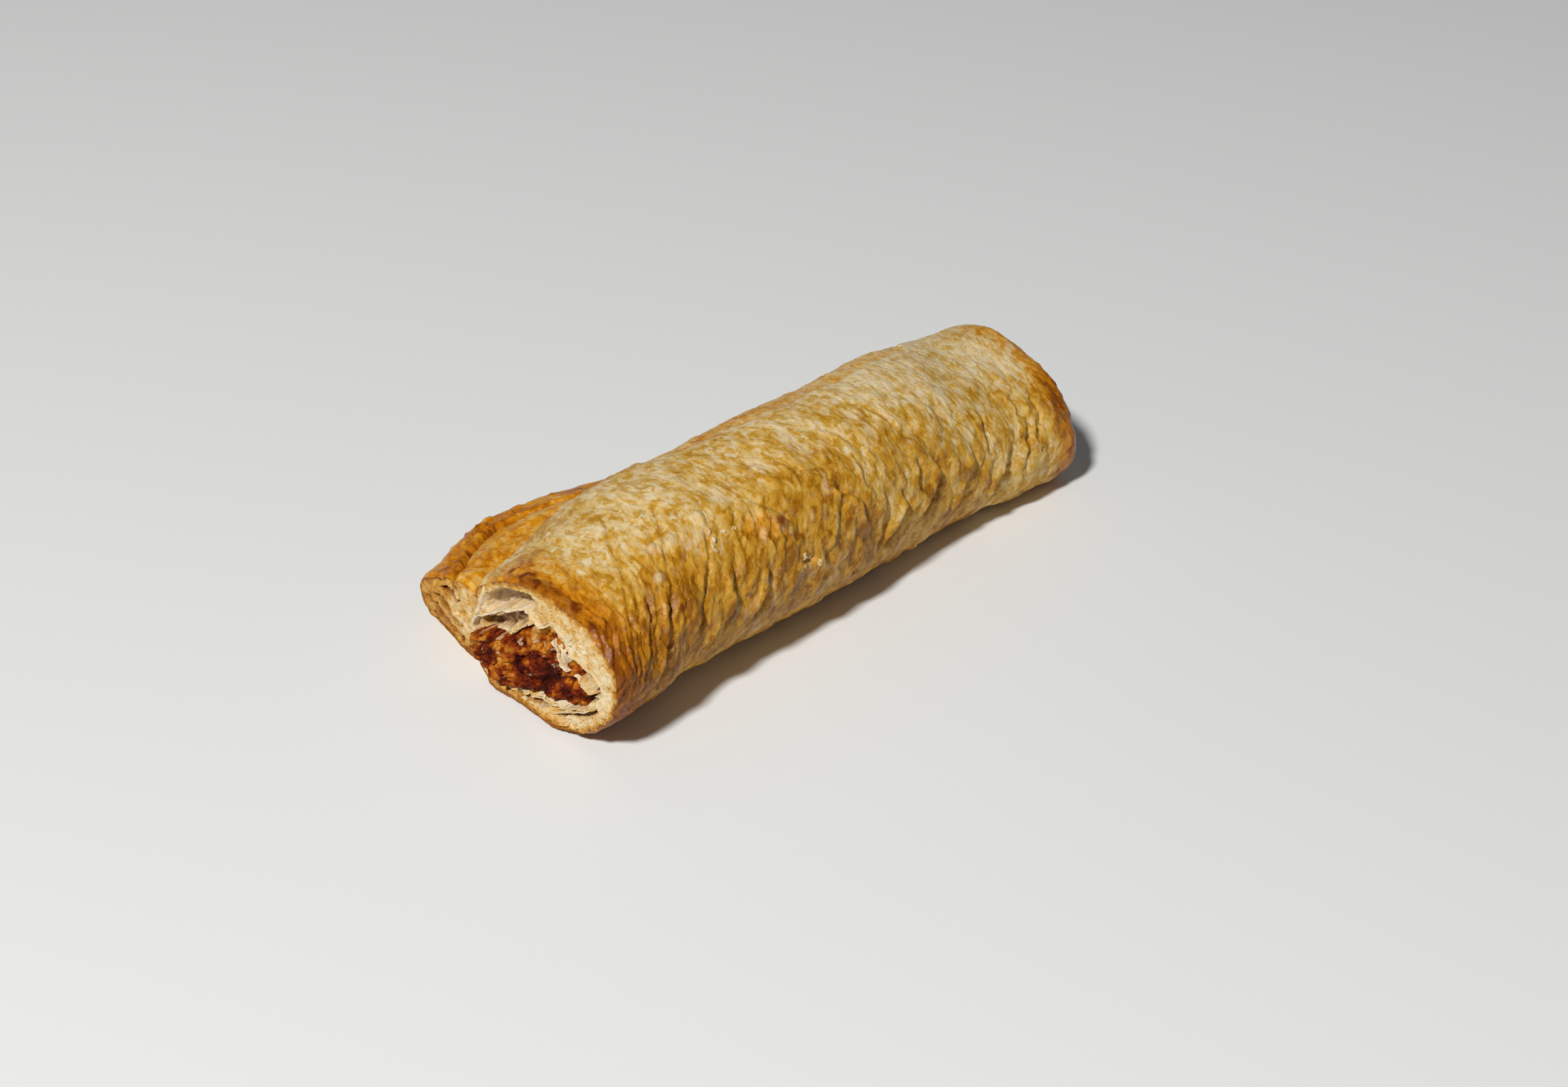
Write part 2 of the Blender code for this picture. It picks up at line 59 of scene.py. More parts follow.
# Flap, in mm: three circles that shrink from the root inside the body to the crimped edge.
FLAP_EDGE_Y = [52.5, 62.3, 56.8, 48.8, 44, 40.6]
FLAP_EDGE_Z = [10.9, 11.8, 13.2, 12.2, 11]
FLAP_WAIST_RADIUS = [9.9, 8.2, 7.2, 6.9, 6.9]
FLAP_EDGE_RADIUS = [6.3, 5.4, 4.7, 4.4]
FLAP_WAIST_PLACE = 0.6        # share of the way from root to edge
FLAP_ROOT_SHARE = 0.62        # root radius as a share of the body's half height
FLAP_ROOT_OFFSET_Y = 11.0 * MM
FLAP_ROOT_DROP = 4.5 * MM
FOLD_SOFTNESS = 1.5 * MM      # rounding where the body lies over the flap
WAIST_SOFTNESS = 2.0 * MM

# Every section is found by looking outward from one point inside it.
INNER_Y = 7.3 * MM            # from the body's centre
INNER_DROP = 8.0 * MM
LONGEST_REACH = 120.0 * MM
RAYS = 721
HALVINGS = 24

# Shares of the way round, counted from the underside over the flap, the top and the front.
EDGE_SHARE = 0.26             # the flap's edge
FOLD_SHARE = 0.41             # where the body lies over the flap

# How the skin rounds off and frays towards the cut ends.
END_ROUNDING = 0.7 * MM
END_ROUNDING_LENGTH = 1.6 * MM
END_FRAY = 0.35 * MM
END_FRAY_LENGTH = 2.5 * MM

# Creases of the front: depth and width, then points of along the roll and round it from the
# flap's edge, all in mm.
CREASES = [
    (0.45, 0.5, [(17, 51), (11, 59), (7, 63.5), (3, 68)]),
    (0.5, 0.5, [(30, 55), (24, 64), (19, 71.5), (14.5, 77), (9, 84)]),
    (0.45, 0.5, [(39, 66), (31, 78), (25, 86)]),
    (1.4, 1, [(25, 86), (21, 90.5), (19.5, 95), (16, 100), (13, 106)]),
    (0.7, 0.7, [(19, 80), (15, 88), (11, 94), (8, 100)]),
    (0.6, 0.7, [(13, 78), (8, 87), (5, 95), (3, 102)]),
    (0.6, 0.55, [(46, 75), (41.5, 82.5), (36.5, 90), (33, 94), (29, 99), (25, 106)]),
    (0.95, 0.9, [(27, 88.5), (29.5, 94.5), (30, 98.5), (27.5, 103)]),
    (1.7, 1, [(44, 90), (42.5, 97), (42, 101), (39.5, 104.5), (33, 108), (28, 111)]),
    (1.7, 0.9, [(53.5, 94), (52, 101), (50, 105.5), (46, 110)]),
    (0.9, 0.9, [(62, 100), (61.5, 106), (58, 112)]),
    (1.3, 1, [(71, 95), (72.5, 100), (71.5, 105), (68, 112)]),
    (1, 0.8, [(82.5, 77), (81.5, 84), (77.5, 89.5), (76, 94), (77, 99)]),
    (1.4, 0.9, [(79.5, 79), (82, 83), (86.5, 85), (87, 89), (89, 93), (88, 99)]),
    (1, 0.9, [(95, 84), (96, 90), (93, 97), (90, 102)]),
    (2, 0.8, [(101, 84), (102.5, 88), (101, 92), (98, 96.5), (93, 102)]),
    (1.1, 0.9, [(109, 76), (110, 81), (108, 87)]),
    (1.8, 1.1, [(115.5, 76), (117.5, 82), (115, 87), (112, 91), (107, 97)]),
    (1.5, 1, [(128.5, 76), (130.5, 81), (128, 86), (125, 92.5), (120, 99)]),
    (0.9, 0.9, [(139, 66), (137, 73), (136, 80)]),
    (1.3, 0.9, [(146, 73), (142.5, 81), (139, 89), (136, 94)]),
    (0.9, 0.8, [(153, 70), (151, 77), (148, 84)]),
    (0.7, 0.8, [(158, 62), (157, 70), (154, 79)]),
    (0.6, 0.8, [(57, 78), (62, 84), (66, 90)]),
    (0.5, 0.8, [(88, 62), (92, 68), (95, 76)]),
    (0.5, 0.8, [(104, 58), (107, 65), (108, 72)]),
    (0.45, 0.8, [(121, 58), (123, 66), (122, 74)]),
]
GROOVE_PLACE = [17, 11.5, 14.5, 15.5, 16.5, 14, 13, 12, 12]
GROOVE_STRENGTH = [0.9, 1, 0.9, 0.7, 0.6, 0.6]

# Where the pale top layer ends over the glazed back: places along in mm, and shares.
TOP_LAYER_PLACES = [0, 30, 45, 60, 75, 95, 138, 145, 170]
TOP_LAYER_SHARES = [0.404, 0.412, 0.458, 0.516, 0.536, 0.548, 0.558, 0.502, 0.5]

# Marks on the skin: along, round from the flap's edge, half length and half width, in mm.
TORN_PATCH = (54.5, 86.5, 6.5, 5)
BROWN_PATCH = (58, 80, 24, 16)
CRUMB_HOLE = (65, 97.5, 2.6, 1.6)
DARK_SPOTS = [(3.3, 45, 1.3, 1.4), (1.3, 76.9, 1.9, 2), (60.5, 86.5, 1.7, 2.2), (24, 92, 1, 1.4)]
PALE_SPOTS = [(32.1, 78.8, 2.6, 2.2), (27.2, 77, 1.8, 1.2), (42, 77.5, 2.4, 1.4), (23, 83, 2, 1.6)]

# The burnt streak of the near rim as two lines, and crumbs on the skin with their size in mm.
BURNT_LINE = [(2.4, 51), (2.1, 57.4), (1.7, 61.2), (1.6, 64.5), (1.6, 68.4), (1.4, 71)]
BURNT_TAIL = [(1.1, 79.5), (0.8, 83), (0.9, 87), (1.1, 91), (1.5, 97)]
SKIN_CRUMBS = [(41.5, 83, 1.5), (41, 86.5, 1.4), (44.5, 84, 0.8), (64, 96, 1), (66.5, 97.2, 1.2),
               (63, 98.6, 0.8), (67.8, 99, 0.9), (48.5, 84.5, 0.7)]

# Cut near end.
FLAP_SETBACK = 2.0 * MM
SETBACK_FROM_Y = 30.0 * MM
SETBACK_TO_Y = 37.0 * MM
SETBACK_LENGTH = 14.0 * MM
NEAR_CORE_REACH = [7.8, 8.9, 10.6, 12.9, 16.5, 21, 20.5, 14.5, 9.9, 8.8, 9.2, 10.2,
                   11.8, 14.2, 17.5, 17.6, 16, 17.2, 21, 16.5, 11.3, 9, 7.8, 7.4]
CORE_OFFSET_Y = 2.2 * MM
CORE_DROP = [3.8, 3, 3, 2.2, 0.8]
CORE_HALF_WIDTH = 15.0 * MM
CORE_HALF_HEIGHT = 10.5 * MM
CORE_TILT = 0.25

# Pockets of the near end as lines through y and z in mm.
HOLLOW = [(26.8, 23.2), (23, 26.6), (17.5, 29.6), (12.2, 31.2)]
LIP_POCKET = [(28, 17.4), (22.5, 20.4), (18.5, 22.6), (14.5, 25.6)]
RIGHT_POCKET = [(-4.4, 21), (-8, 19.8), (-11.4, 18.6)]

# Gaps of the near end, slits of its flap and gaps of the far end: a line, width and depth, in mm.
GAPS = [
    ([(14.8, 27), (13.4, 26.2)], 0.9, 3.5),
    ([(6.2, 30.3), (4.9, 29)], 0.8, 3.5),
    ([(-6.5, 14.2), (-10, 15.2), (-12.3, 16.4)], 0.8, 3),
    ([(-12.5, 12.8), (-8, 9), (-3.5, 6.8)], 0.35, 2),
    ([(15.5, 3), (11, 4), (6, 5.6)], 0.8, 2),
    ([(1, 5), (-5, 7.6), (-10.5, 11.4)], 0.3, 1.6),
    ([(24, 3), (17, 2.6)], 0.3, 1.6),
]
SLITS = [
    ([(49.4, 16), (46.8, 16.8), (45, 16.4), (43.2, 15.2)], 0.75, 3.2),
    ([(52, 12.9), (49.6, 12.5), (47.4, 11.6), (45.4, 9.9), (42.4, 7.8)], 0.85, 4.6),
    ([(55.2, 10.9), (52.2, 9.9), (50, 8.7), (47.9, 7.2), (45.6, 6.2), (43.6, 4.9)], 0.9, 4.8),
    ([(54.8, 7.8), (51.8, 6.6), (49.4, 5.2), (47.2, 4.2)], 0.65, 3.4),
    ([(42.4, 3.4), (41.8, 5.4)], 0.6, 2.2),
    ([(36.8, 12.6), (35.2, 11.8)], 0.55, 1.8),
]
FAR_GAPS = [
    ([(25, 24), (18, 27), (10, 26.5)], 1.1, 3.4),
    ([(1, 22), (-1.5, 18)], 1.2, 2.4),
    ([(41, 11.5), (34, 11)], 0.5, 2.4),
]

# Crumbs of pastry on the near end's meat: y, z and half width of each patch, in mm.
MEAT_CRUMBS = [(14, 19.7, 3), (8.7, 21.1, 2.4), (2, 21.7, 3.4), (-2.9, 21.2, 2.6), (20.5, 17.6, 2.6),
               (11, 25.4, 2)]

# Thin leaves that stand out of the near end: points in y and z in mm, then how far the leaf
# starts inside and reaches out, its thickness and its raggedness in mm, and how brown it is.
NEAR_LEAVES = [
    ([(32.6, 11.6), (32.9, 14.6), (31, 17.8), (27.6, 20.4), (21.9, 24), (16.2, 27.4), (12.6, 28.4)],
     5, 0.9, 0.75, 0.7, 0.08),
    ([(13.5, 28.6), (10.5, 27.6), (7.5, 27), (5, 28.2)], 5, 0.5, 0.5, 0.8, 0.16),
    ([(-1.5, 24.2), (-6, 23.2), (-11, 22.2), (-14, 19.8), (-13.6, 17.2), (-10.4, 15.6)],
     4, -0.2, 0.6, 0.5, 0.2),
    ([(28.2, 28.6), (28.9, 26), (29.8, 23), (31.4, 19.5), (33.6, 15.5), (34.8, 11.5)],
     5, 0.6, 1.7, 0.5, 0.16),
    ([(4.2, 24.2), (2, 22), (1.2, 19.6)], 2, 0.1, 0.35, 0.9, 0.1),
    ([(0.8, 25), (-0.8, 22.8), (-1.6, 20.6)], 2, 0.2, 0.4, 0.9, 0.1),
    ([(1.6, 20.4), (-0.2, 19.4), (-2.4, 18.6)], 2, 0, 0.35, 1, 0.1),
    ([(-3, 18), (-5.4, 17.4), (-8, 16.4)], 2, -0.4, 0.35, 0.8, 0.1),
    ([(21, 1.7), (12, 2.6), (4, 4.4), (-4, 7.8), (-11.5, 12.8)], 3, 0.5, 0.4, 0.6, 0.22),
    ([(14, 4.4), (5.5, 5.8), (-1.5, 8), (-8, 11.4)], 3, 0.4, 0.35, 0.6, 0.22),
    ([(27, 4.2), (19, 3.4), (13, 4.2)], 3, 0.5, 0.35, 0.6, 0.22),
]
STRAND = ([(-8.9, 24.6), (-10.6, 22.4), (-10.9, 19.6), (-9.4, 16.2)], 2.6, -2, 0.5, 0.1, 0.1)
STRAND_SEED = 31
FAR_LEAVES = [
    ([(30, 20), (22, 27), (12, 29), (2, 26)], 4, 0.4, 0.5, 0.7, 0.18),
    ([(34, 6), (22, 3.8), (10, 3.9), (1, 7)], 4, 0.4, 0.45, 0.7, 0.22),
    ([(42, 12.5), (36, 13), (31, 12)], 3, 0.2, 0.4, 0.6, 0.3),
]

END_DEPTH = 8 * MM            # how far the meat and the hole round it run into the roll
CORE_CLEARANCE = 0.12 * MM

# Numbers of points of the pieces.
SKIN_STATIONS = 171
SKIN_ROWS = 412
FLAP_SHARES = 128
TUBE_SHARES = 236
NEAR_FACE_RINGS = 90
FAR_FACE_RINGS = 50
CORE_RINGS = 90
LEAF_ROWS = 120
LEAF_STEPS = 13
CRUMB_RINGS = 13
CRUMB_SIDES = 16
CRUMBS_PER_PLACE = 3
SWELL_WAVES = 9

# Colours, and how pale to dark tones turn into them.
PLAIN_CRUST = [(0, (0.82, 0.65, 0.38)), (0.2, (0.75, 0.53, 0.225)), (0.4, (0.66, 0.41, 0.1)),
               (0.56, (0.59, 0.31, 0.03)), (0.72, (0.5, 0.238, 0.016)), (0.86, (0.42, 0.178, 0.007)),
               (1, (0.3, 0.112, 0.003))]
GLAZED_CRUST = [(0, (0.8, 0.52, 0.15)), (0.35, (0.73, 0.315, 0.006)), (0.6, (0.6, 0.195, 0.002)),
                (0.8, (0.45, 0.14, 0.001)), (1, (0.27, 0.07, 0.001))]
CRUMB = [(0, (0.87, 0.75, 0.54)), (0.25, (0.81, 0.61, 0.32)), (0.5, (0.69, 0.4, 0.105)),
         (0.75, (0.55, 0.25, 0.025)), (1, (0.28, 0.09, 0.006))]
MEAT = [(0, (0.62, 0.28, 0.035)), (0.25, (0.45, 0.125, 0.004)), (0.5, (0.23, 0.031, 0.001)),
        (0.75, (0.115, 0.01, 0.001)), (1, (0.04, 0.003, 0.0005))]
WHITE_FLECK = (0.81, 0.68, 0.44)
# Burnt marks, also used for the painted shade in the creases and the flap's groove.
SCORCHED_AND_SHADE = (0.17, 0.032, 0.001)
INSIDE_POCKET = (0.66, 0.52, 0.35)
MEAT_IN_POCKET = (0.27, 0.105, 0.03)
# Painted shade in the gaps and slits of the cut ends.
GAP_SHADE = (0.24, 0.075, 0.008)
CRUMB_ON_MEAT = (0.66, 0.46, 0.25)

# Studio: place in metres, size, power and colour of each light, then the sky and the floor.
KEY_LIGHT = ((-1.36, -0.48, 1.7), 0.26, 46, (1, 0.98, 0.95))
FILL_LIGHT = ((0.2, -1.1, 0.6), 1.2, 0.2, (1, 1, 1))
SKY_COLOUR = (0.97, 0.98, 1)
SKY_STRENGTH = 0.09
FLOOR_COLOUR = (0.89, 0.915, 0.92)
FLOOR_SIZE = 6
FLOOR_DROP = 0.2 * MM

# Camera of the photograph.
CAMERA_PLACE = (-0.3976, -0.4248, 0.3867)
CAMERA_AZIMUTH = -42.99
CAMERA_ELEVATION = 33
CAMERA_LENS = 62.53
CAMERA_SENSOR = 36
CAMERA_CLIP = 0.01


def ease(values, s):
    """Smooth value at s, 0 to 1, through evenly spaced key values."""
    keys = np.asarray(values, float)
    place = np.clip(s, 0, 1) * (len(keys) - 1)
    first = np.minimum(place.astype(int), len(keys) - 2)
    f = place - first
    before = keys[np.maximum(first - 1, 0)]
    left = keys[first]
    right = keys[first + 1]
    after = keys[np.minimum(first + 2, len(keys) - 1)]
    linear = (right - before) * f
    square = (2 * before - 5 * left + 4 * right - after) * f**2
    cubic = (3 * left - before - 3 * right + after) * f**3
    return 0.5 * (2 * left + linear + square + cubic)


def smooth_min(a, b, softness):
    """The lesser of two values, blended where they are close."""
    h = np.clip(0.5 + 0.5 * (b - a) / softness, 0, 1)
    return b * (1 - h) + a * h - softness * h * (1 - h)


def rise(value, low, high):
    """0 below low, 1 above high, with a soft rise between."""
    t = np.clip((value - low) / (high - low), 0, 1)
    return t * t * (3 - 2 * t)


def fall(value, low, high):
    """1 below low, 0 above high, with a soft fall between."""
    return 1 - rise(value, low, high)


def bell(x):
    """1 at 0, sinking softly to 0 on both sides."""
    return np.exp(-x**2)


def swell(points, seed, size):
    """Gentle seeded unevenness, about -1 to 1, for points in space."""
    rng = np.random.default_rng(seed)
    total = np.zeros(points.shape[:-1])
    for _ in range(SWELL_WAVES):
        direction = rng.normal(size=3)
        direction /= np.linalg.norm(direction)
        length = size * rng.uniform(0.7, 1.5)
        total += np.sin(points @ direction * 2 * np.pi / length + rng.uniform(0, 2 * np.pi))
    return total / np.sqrt(SWELL_WAVES / 2) / 1.6


def section_sizes(s):
    """Sizes of the cross-sections at the shares s of the length, one row each."""
    s = np.asarray(s, float).reshape(-1, 1)
    into_taper = np.clip((s - 1 + FAR_TAPER_LENGTH) / FAR_TAPER_LENGTH, 0, 1)
    taper = 1 - FAR_TAPER * into_taper**2
    p = SimpleNamespace(
        half_width=ease(BODY_HALF_WIDTH, s) * MM * taper,
        half_height=ease(BODY_HALF_HEIGHT, s) * MM * taper,
        centre_y=ease(BODY_CENTRE_Y, s) * MM,
        lean=ease(BODY_LEAN, s),
        edge_y=ease(FLAP_EDGE_Y, s) * MM,
        edge_z=ease(FLAP_EDGE_Z, s) * MM,
        edge_r=ease(FLAP_EDGE_RADIUS, s) * MM,
        waist_r=ease(FLAP_WAIST_RADIUS, s) * MM,
    )
    p.centre_z = p.half_height - FLAT_DEPTH
    p.root_y = p.centre_y + FLAP_ROOT_OFFSET_Y
    p.root_z = p.centre_z - FLAP_ROOT_DROP
    p.root_r = p.half_height * FLAP_ROOT_SHARE
    p.waist_y = p.root_y + FLAP_WAIST_PLACE * (p.edge_y - p.root_y)
    p.waist_z = p.root_z + FLAP_WAIST_PLACE * (p.edge_z - p.root_z)
    p.inner_y = p.centre_y + INNER_Y
    p.inner_z = p.centre_z - INNER_DROP
    return p


def body_distance(y, z, p):
    """Below 0 inside the body's leaning, slightly squared oval."""
    u = (y - p.centre_y) / p.half_width
    v = (z - p.centre_z) / p.half_height + p.lean * u
    reach = (np.abs(u) ** BODY_SQUARENESS + np.abs(v) ** BODY_SQUARENESS) ** (1 / BODY_SQUARENESS)
    return (reach - 1) * np.minimum(p.half_width, p.half_height)


def taper_distance(y, z, y0, z0, r0, y1, z1, r1):
    """Below 0 inside the hull of two circles."""
    dy = y1 - y0
    dz = z1 - z0
    t = np.clip(((y - y0) * dy + (z - z0) * dz) / (dy * dy + dz * dz), 0, 1)
    return np.hypot(y - y0 - t * dy, z - z0 - t * dz) - (r0 + t * (r1 - r0))


def flap_distance(y, z, p):
    """Below 0 inside the flap, from root over waist to edge."""
    inner = taper_distance(y, z, p.root_y, p.root_z, p.root_r,
                           p.waist_y, p.waist_z, p.waist_r)
    outer = taper_distance(y, z, p.waist_y, p.waist_z, p.waist_r,
                           p.edge_y, p.edge_z, p.edge_r)
    return smooth_min(inner, outer, WAIST_SOFTNESS)


def section_rings(s, shares):
    """Points of the smooth sections, and their distance along the skin from the flap's edge."""
    p = section_sizes(s)
    angle = np.linspace(-0.5 * np.pi, 1.5 * np.pi, RAYS)[None, :]
    near = np.zeros((len(p.half_width), RAYS))
    far = near + LONGEST_REACH
    for _ in range(HALVINGS):
        middle = (near + far) / 2
        y = p.inner_y + middle * np.cos(angle)
        z = p.inner_z + middle * np.sin(angle)
        inside = smooth_min(body_distance(y, z, p), flap_distance(y, z, p), FOLD_SOFTNESS) < 0
        near = np.where(inside, middle, near)
        far = np.where(inside, far, middle)
    y = p.inner_y + near * np.cos(angle)
    z = p.inner_z + near * np.sin(angle)
    body_first = body_distance(y, z, p) < flap_distance(y, z, p)
    ring_y = np.zeros((len(y), len(shares)))
    ring_z = np.zeros_like(ring_y)
    from_edge = np.zeros_like(ring_y)
    for row in range(len(y)):
        step = np.hypot(np.diff(y[row]), np.diff(z[row]))
        around = np.concatenate([[0], np.cumsum(step)])
        edge = int(np.argmax(y[row] + 0.2 * z[row]))
        fold = edge + int(np.argmax(body_first[row, edge:]))
        wanted = np.interp(shares, [0, EDGE_SHARE, FOLD_SHARE, 1],
                           [0, around[edge], around[fold], around[-1]])
        ring_y[row] = np.interp(wanted, around, y[row])
        ring_z[row] = np.interp(wanted, around, z[row])
        from_edge[row] = wanted - around[edge]
    return ring_y, ring_z, from_edge


def tones(*layers):
    """Four tones from 0 to 1 as one array."""
    return np.clip(np.stack(np.broadcast_arrays(*layers), -1), 0, 1)


def grain(u, v, seed):
    """Smooth random field from -1 to 1 with one cell per unit of u and v."""
    table = np.random.default_rng(seed).uniform(-1, 1, (256, 256))
    cell_u = np.floor(u).astype(int)
    cell_v = np.floor(v).astype(int)
    fu = u - cell_u
    fv = v - cell_v
    fu = fu * fu * (3 - 2 * fu)
    fv = fv * fv * (3 - 2 * fv)
    a = table[cell_u % 256, cell_v % 256]
    b = table[(cell_u + 1) % 256, cell_v % 256]
    c = table[cell_u % 256, (cell_v + 1) % 256]
    d = table[(cell_u + 1) % 256, (cell_v + 1) % 256]
    return (a * (1 - fu) + b * fu) * (1 - fv) + (c * (1 - fu) + d * fu) * fv


def clouds(u, v, size, seed, octaves):
    """Grains of halving size, each turned against the last, about -1 to 1.

    The size is that of the largest, or a pair where it differs along u and v."""
    size_u, size_v = np.broadcast_to(size, 2)
    u, v = np.broadcast_arrays(u / size_u, v / size_v)
    total = np.zeros(u.shape)
    weight = 1.0
    for k in range(octaves):
        turn = 0.5 + 1.1 * k
        across = (u * np.cos(turn) - v * np.sin(turn)) * 2**k
        around = (u * np.sin(turn) + v * np.cos(turn)) * 2**k
        total = total + weight * grain(across + 17.3 * k, around + 9.1 * k, seed + k)
        weight *= 0.55
    return total / 1.3


def domes(u, v, seed, count, size, stretch):
    """Round swellings at seeded places of a grid, 0 to 1."""
    rng = np.random.default_rng(seed)
    total = np.zeros_like(u)
    step_u = (u[-1, 0] - u[0, 0]) / (u.shape[0] - 1)
    step_v = np.abs(np.diff(v[0])).mean()
    for _ in range(count):
        i = rng.integers(u.shape[0])
        j = rng.integers(u.shape[1])
        half = size * rng.uniform(0.5, 1.5)
        reach_i = int(half / step_u) + 2
        reach_j = int(half * stretch / step_v) + 2
        window = (slice(max(i - reach_i, 0), i + reach_i), slice(max(j - reach_j, 0), j + reach_j))
        off = np.hypot((u[window] - u[i, j]) / half, (v[window] - v[i, j]) / (half * stretch))
        total[window] = np.maximum(total[window], rng.uniform(0.5, 1) * fall(off, 0.3, 1))
    return total


def stroke(u, v, line):
    """Distance to a line, the same with a sign for its side, and how far along it, 0 to 1."""
    best = np.full(np.broadcast(u, v).shape, 1e9)
    side = np.zeros_like(best)
    place = np.zeros_like(best)
    for k in range(len(line) - 1):
        (u0, v0), (u1, v1) = line[k], line[k + 1]
        du = u1 - u0
        dv = v1 - v0
        t = np.clip(((u - u0) * du + (v - v0) * dv) / (du * du + dv * dv), 0, 1)
        off_u = u - u0 - t * du
        off_v = v - v0 - t * dv
        off = np.hypot(off_u, off_v)
        nearer = off < best
        best = np.where(nearer, off, best)
        side = np.where(nearer, np.sign(off_v * du - off_u * dv), side)
        place = np.where(nearer, (k + t) / (len(line) - 1), place)
    return best, side * best, place


def patch(u, v, mark, full=0.3, none=1.1):
    """1 in the middle of an oval mark, 0 outside it, with its ends as shares of the oval."""
    middle_u, middle_v, half_u, half_v = mark
    return fall(np.hypot((u - middle_u) / half_u, (v - middle_v) / half_v), full, none)


def crease_relief(u, v):
    """Height of the creases in mm, and the painted shade along them."""
    height = np.zeros_like(u)
    shade = np.zeros_like(u)
    bend_u = u + 0.8 * clouds(u, v, 5, 301, 4)
    bend_v = v + 0.8 * clouds(u, v, 5, 305, 4)
    for deep, wide, line in CREASES:
        off, side, place = stroke(bend_u, bend_v, line)
        taper = rise(place, 0, 0.2) * fall(place, 0.75, 1.0)
        cut = bell(off / wide)
        bank = bell((side - 2.2 * wide) / (1.5 * wide))
        low = bell((side + 2.0 * wide) / (1.8 * wide))
        taper = taper * (0.45 + 0.55 * rise(clouds(u, v, 4, 309, 2), -0.6, 0.4))
        height += taper * deep * (0.6 * bank - 1.05 * cut - 0.3 * low)
        # Painted shade along the crease's cut, stronger for deeper creases.
        dark = taper * min(1.0, 0.3 + 0.4 * deep) * bell(off / (0.6 * wide))
        shade = np.maximum(shade, dark)
    return height, shade


def folded(u, v, seed, width, length):
    """Folds that overlap like shingles, with a slow rise and a sharp, ragged drop, and their edges."""
    turn = u / width + 1.3 * clouds(u, v, (2.2 * width, length), seed, 4)
    part = turn - np.floor(turn)
    drop = rise(part, 0.0, 0.8) * fall(part, 0.86, 1.0)
    edge = bell((part - 0.96) / 0.07)
    return drop, edge


def flap_relief(u, v, share):
    """Height in mm of the flap's groove, blistered rim and inner strip, and their masks."""
    s = u / (LENGTH / MM)
    place = ease(GROOVE_PLACE, s)
    strength = ease(GROOVE_STRENGTH, s)
    on_top = rise(FOLD_SHARE - share, 0.0, 0.012) * rise(v, -3, 1)
    off = v - place - 0.7 * clouds(u, 0 * v, (7, 1), 41, 4)
    groove = bell(off / 0.8)
    rim = rise(-off, 0.0, 2.0) * fall(-off, 6.0, 12.0)
    pillow = rise(off, -0.2, 2.2) * fall(off, 5.5, 10.0)
    lip = bell((off - 0.7) / 0.5) * rise(clouds(u, v, 2.5, 45, 3), -0.4, 0.3)
    bubbles = domes(u, v, 47, 2600, 1.15, 1.0) * rim * (1 - 0.6 * rise(u, 30, 70))
    dimples = clouds(u, v, 3.2, 49, 3) * pillow
    height = rim + pillow - 1.8 * groove + 0.7 * bubbles + 0.5 * lip + 0.35 * dimples
    return strength * on_top * height, on_top * groove, on_top * rim, on_top * lip


def skin_grid():
    """The smooth skin: places along, shares, distance from the flap's edge, points and normals."""
    flap = np.linspace(0, FOLD_SHARE, FLAP_SHARES)
    tube = np.linspace(FOLD_SHARE, 1, TUBE_SHARES)[1:-1]
    shares = np.concatenate([flap, tube])
    rows = np.linspace(0, 1, SKIN_ROWS)
    rows = (rows - 0.008 * np.sin(2 * np.pi * rows)) * LENGTH
    stations = np.linspace(0, 1, SKIN_STATIONS)
    ring_y, ring_z, ring_edge = section_rings(stations, shares)
    base = np.stack([np.repeat(stations[:, None] * LENGTH, len(shares), 1), ring_y, ring_z], -1)
    along_roll = np.gradient(base, axis=0)
    around = np.roll(base, -1, axis=1) - np.roll(base, 1, axis=1)
    normal = np.cross(around, along_roll)
    normal /= np.linalg.norm(normal, axis=-1, keepdims=True)
    for _ in range(3):
        normal = (np.roll(normal, 1, axis=1) + 2 * normal + np.roll(normal, -1, axis=1)) / 4
    place = rows / LENGTH * (len(stations) - 1)
    low = np.minimum(place.astype(int), len(stations) - 2)
    f = (place - low)[:, None, None]
    edge, points, normal = [a[low] * (1 - f) + a[low + 1] * f for a in (ring_edge[..., None], base, normal)]
    return rows, shares, edge[..., 0], points, normal


def burnt_marks(u, v):
    """The burnt streak of the near rim and the dark spots, 0 to 1."""
    off = stroke(u + 0.5 * clouds(u, v, (2, 4), 99, 3), v, BURNT_LINE)[0]
    off = off + 0.7 * clouds(v, u, 2.5, 105, 3)
    streak = fall(off, 1.2, 2.1) * (0.5 + 0.5 * rise(clouds(v, u, 3, 101, 3), -0.4, 0.1))
    off = stroke(u + 0.5 * clouds(u, v, (2, 4), 103, 3), v, BURNT_TAIL)[0]
    tail = 0.6 * fall(off + 0.5 * clouds(v, u, 2.5, 107, 3), 0.5, 1.5)
    return np.maximum.reduce([streak, tail] + [0.95 * patch(u, v, mark) for mark in DARK_SPOTS])


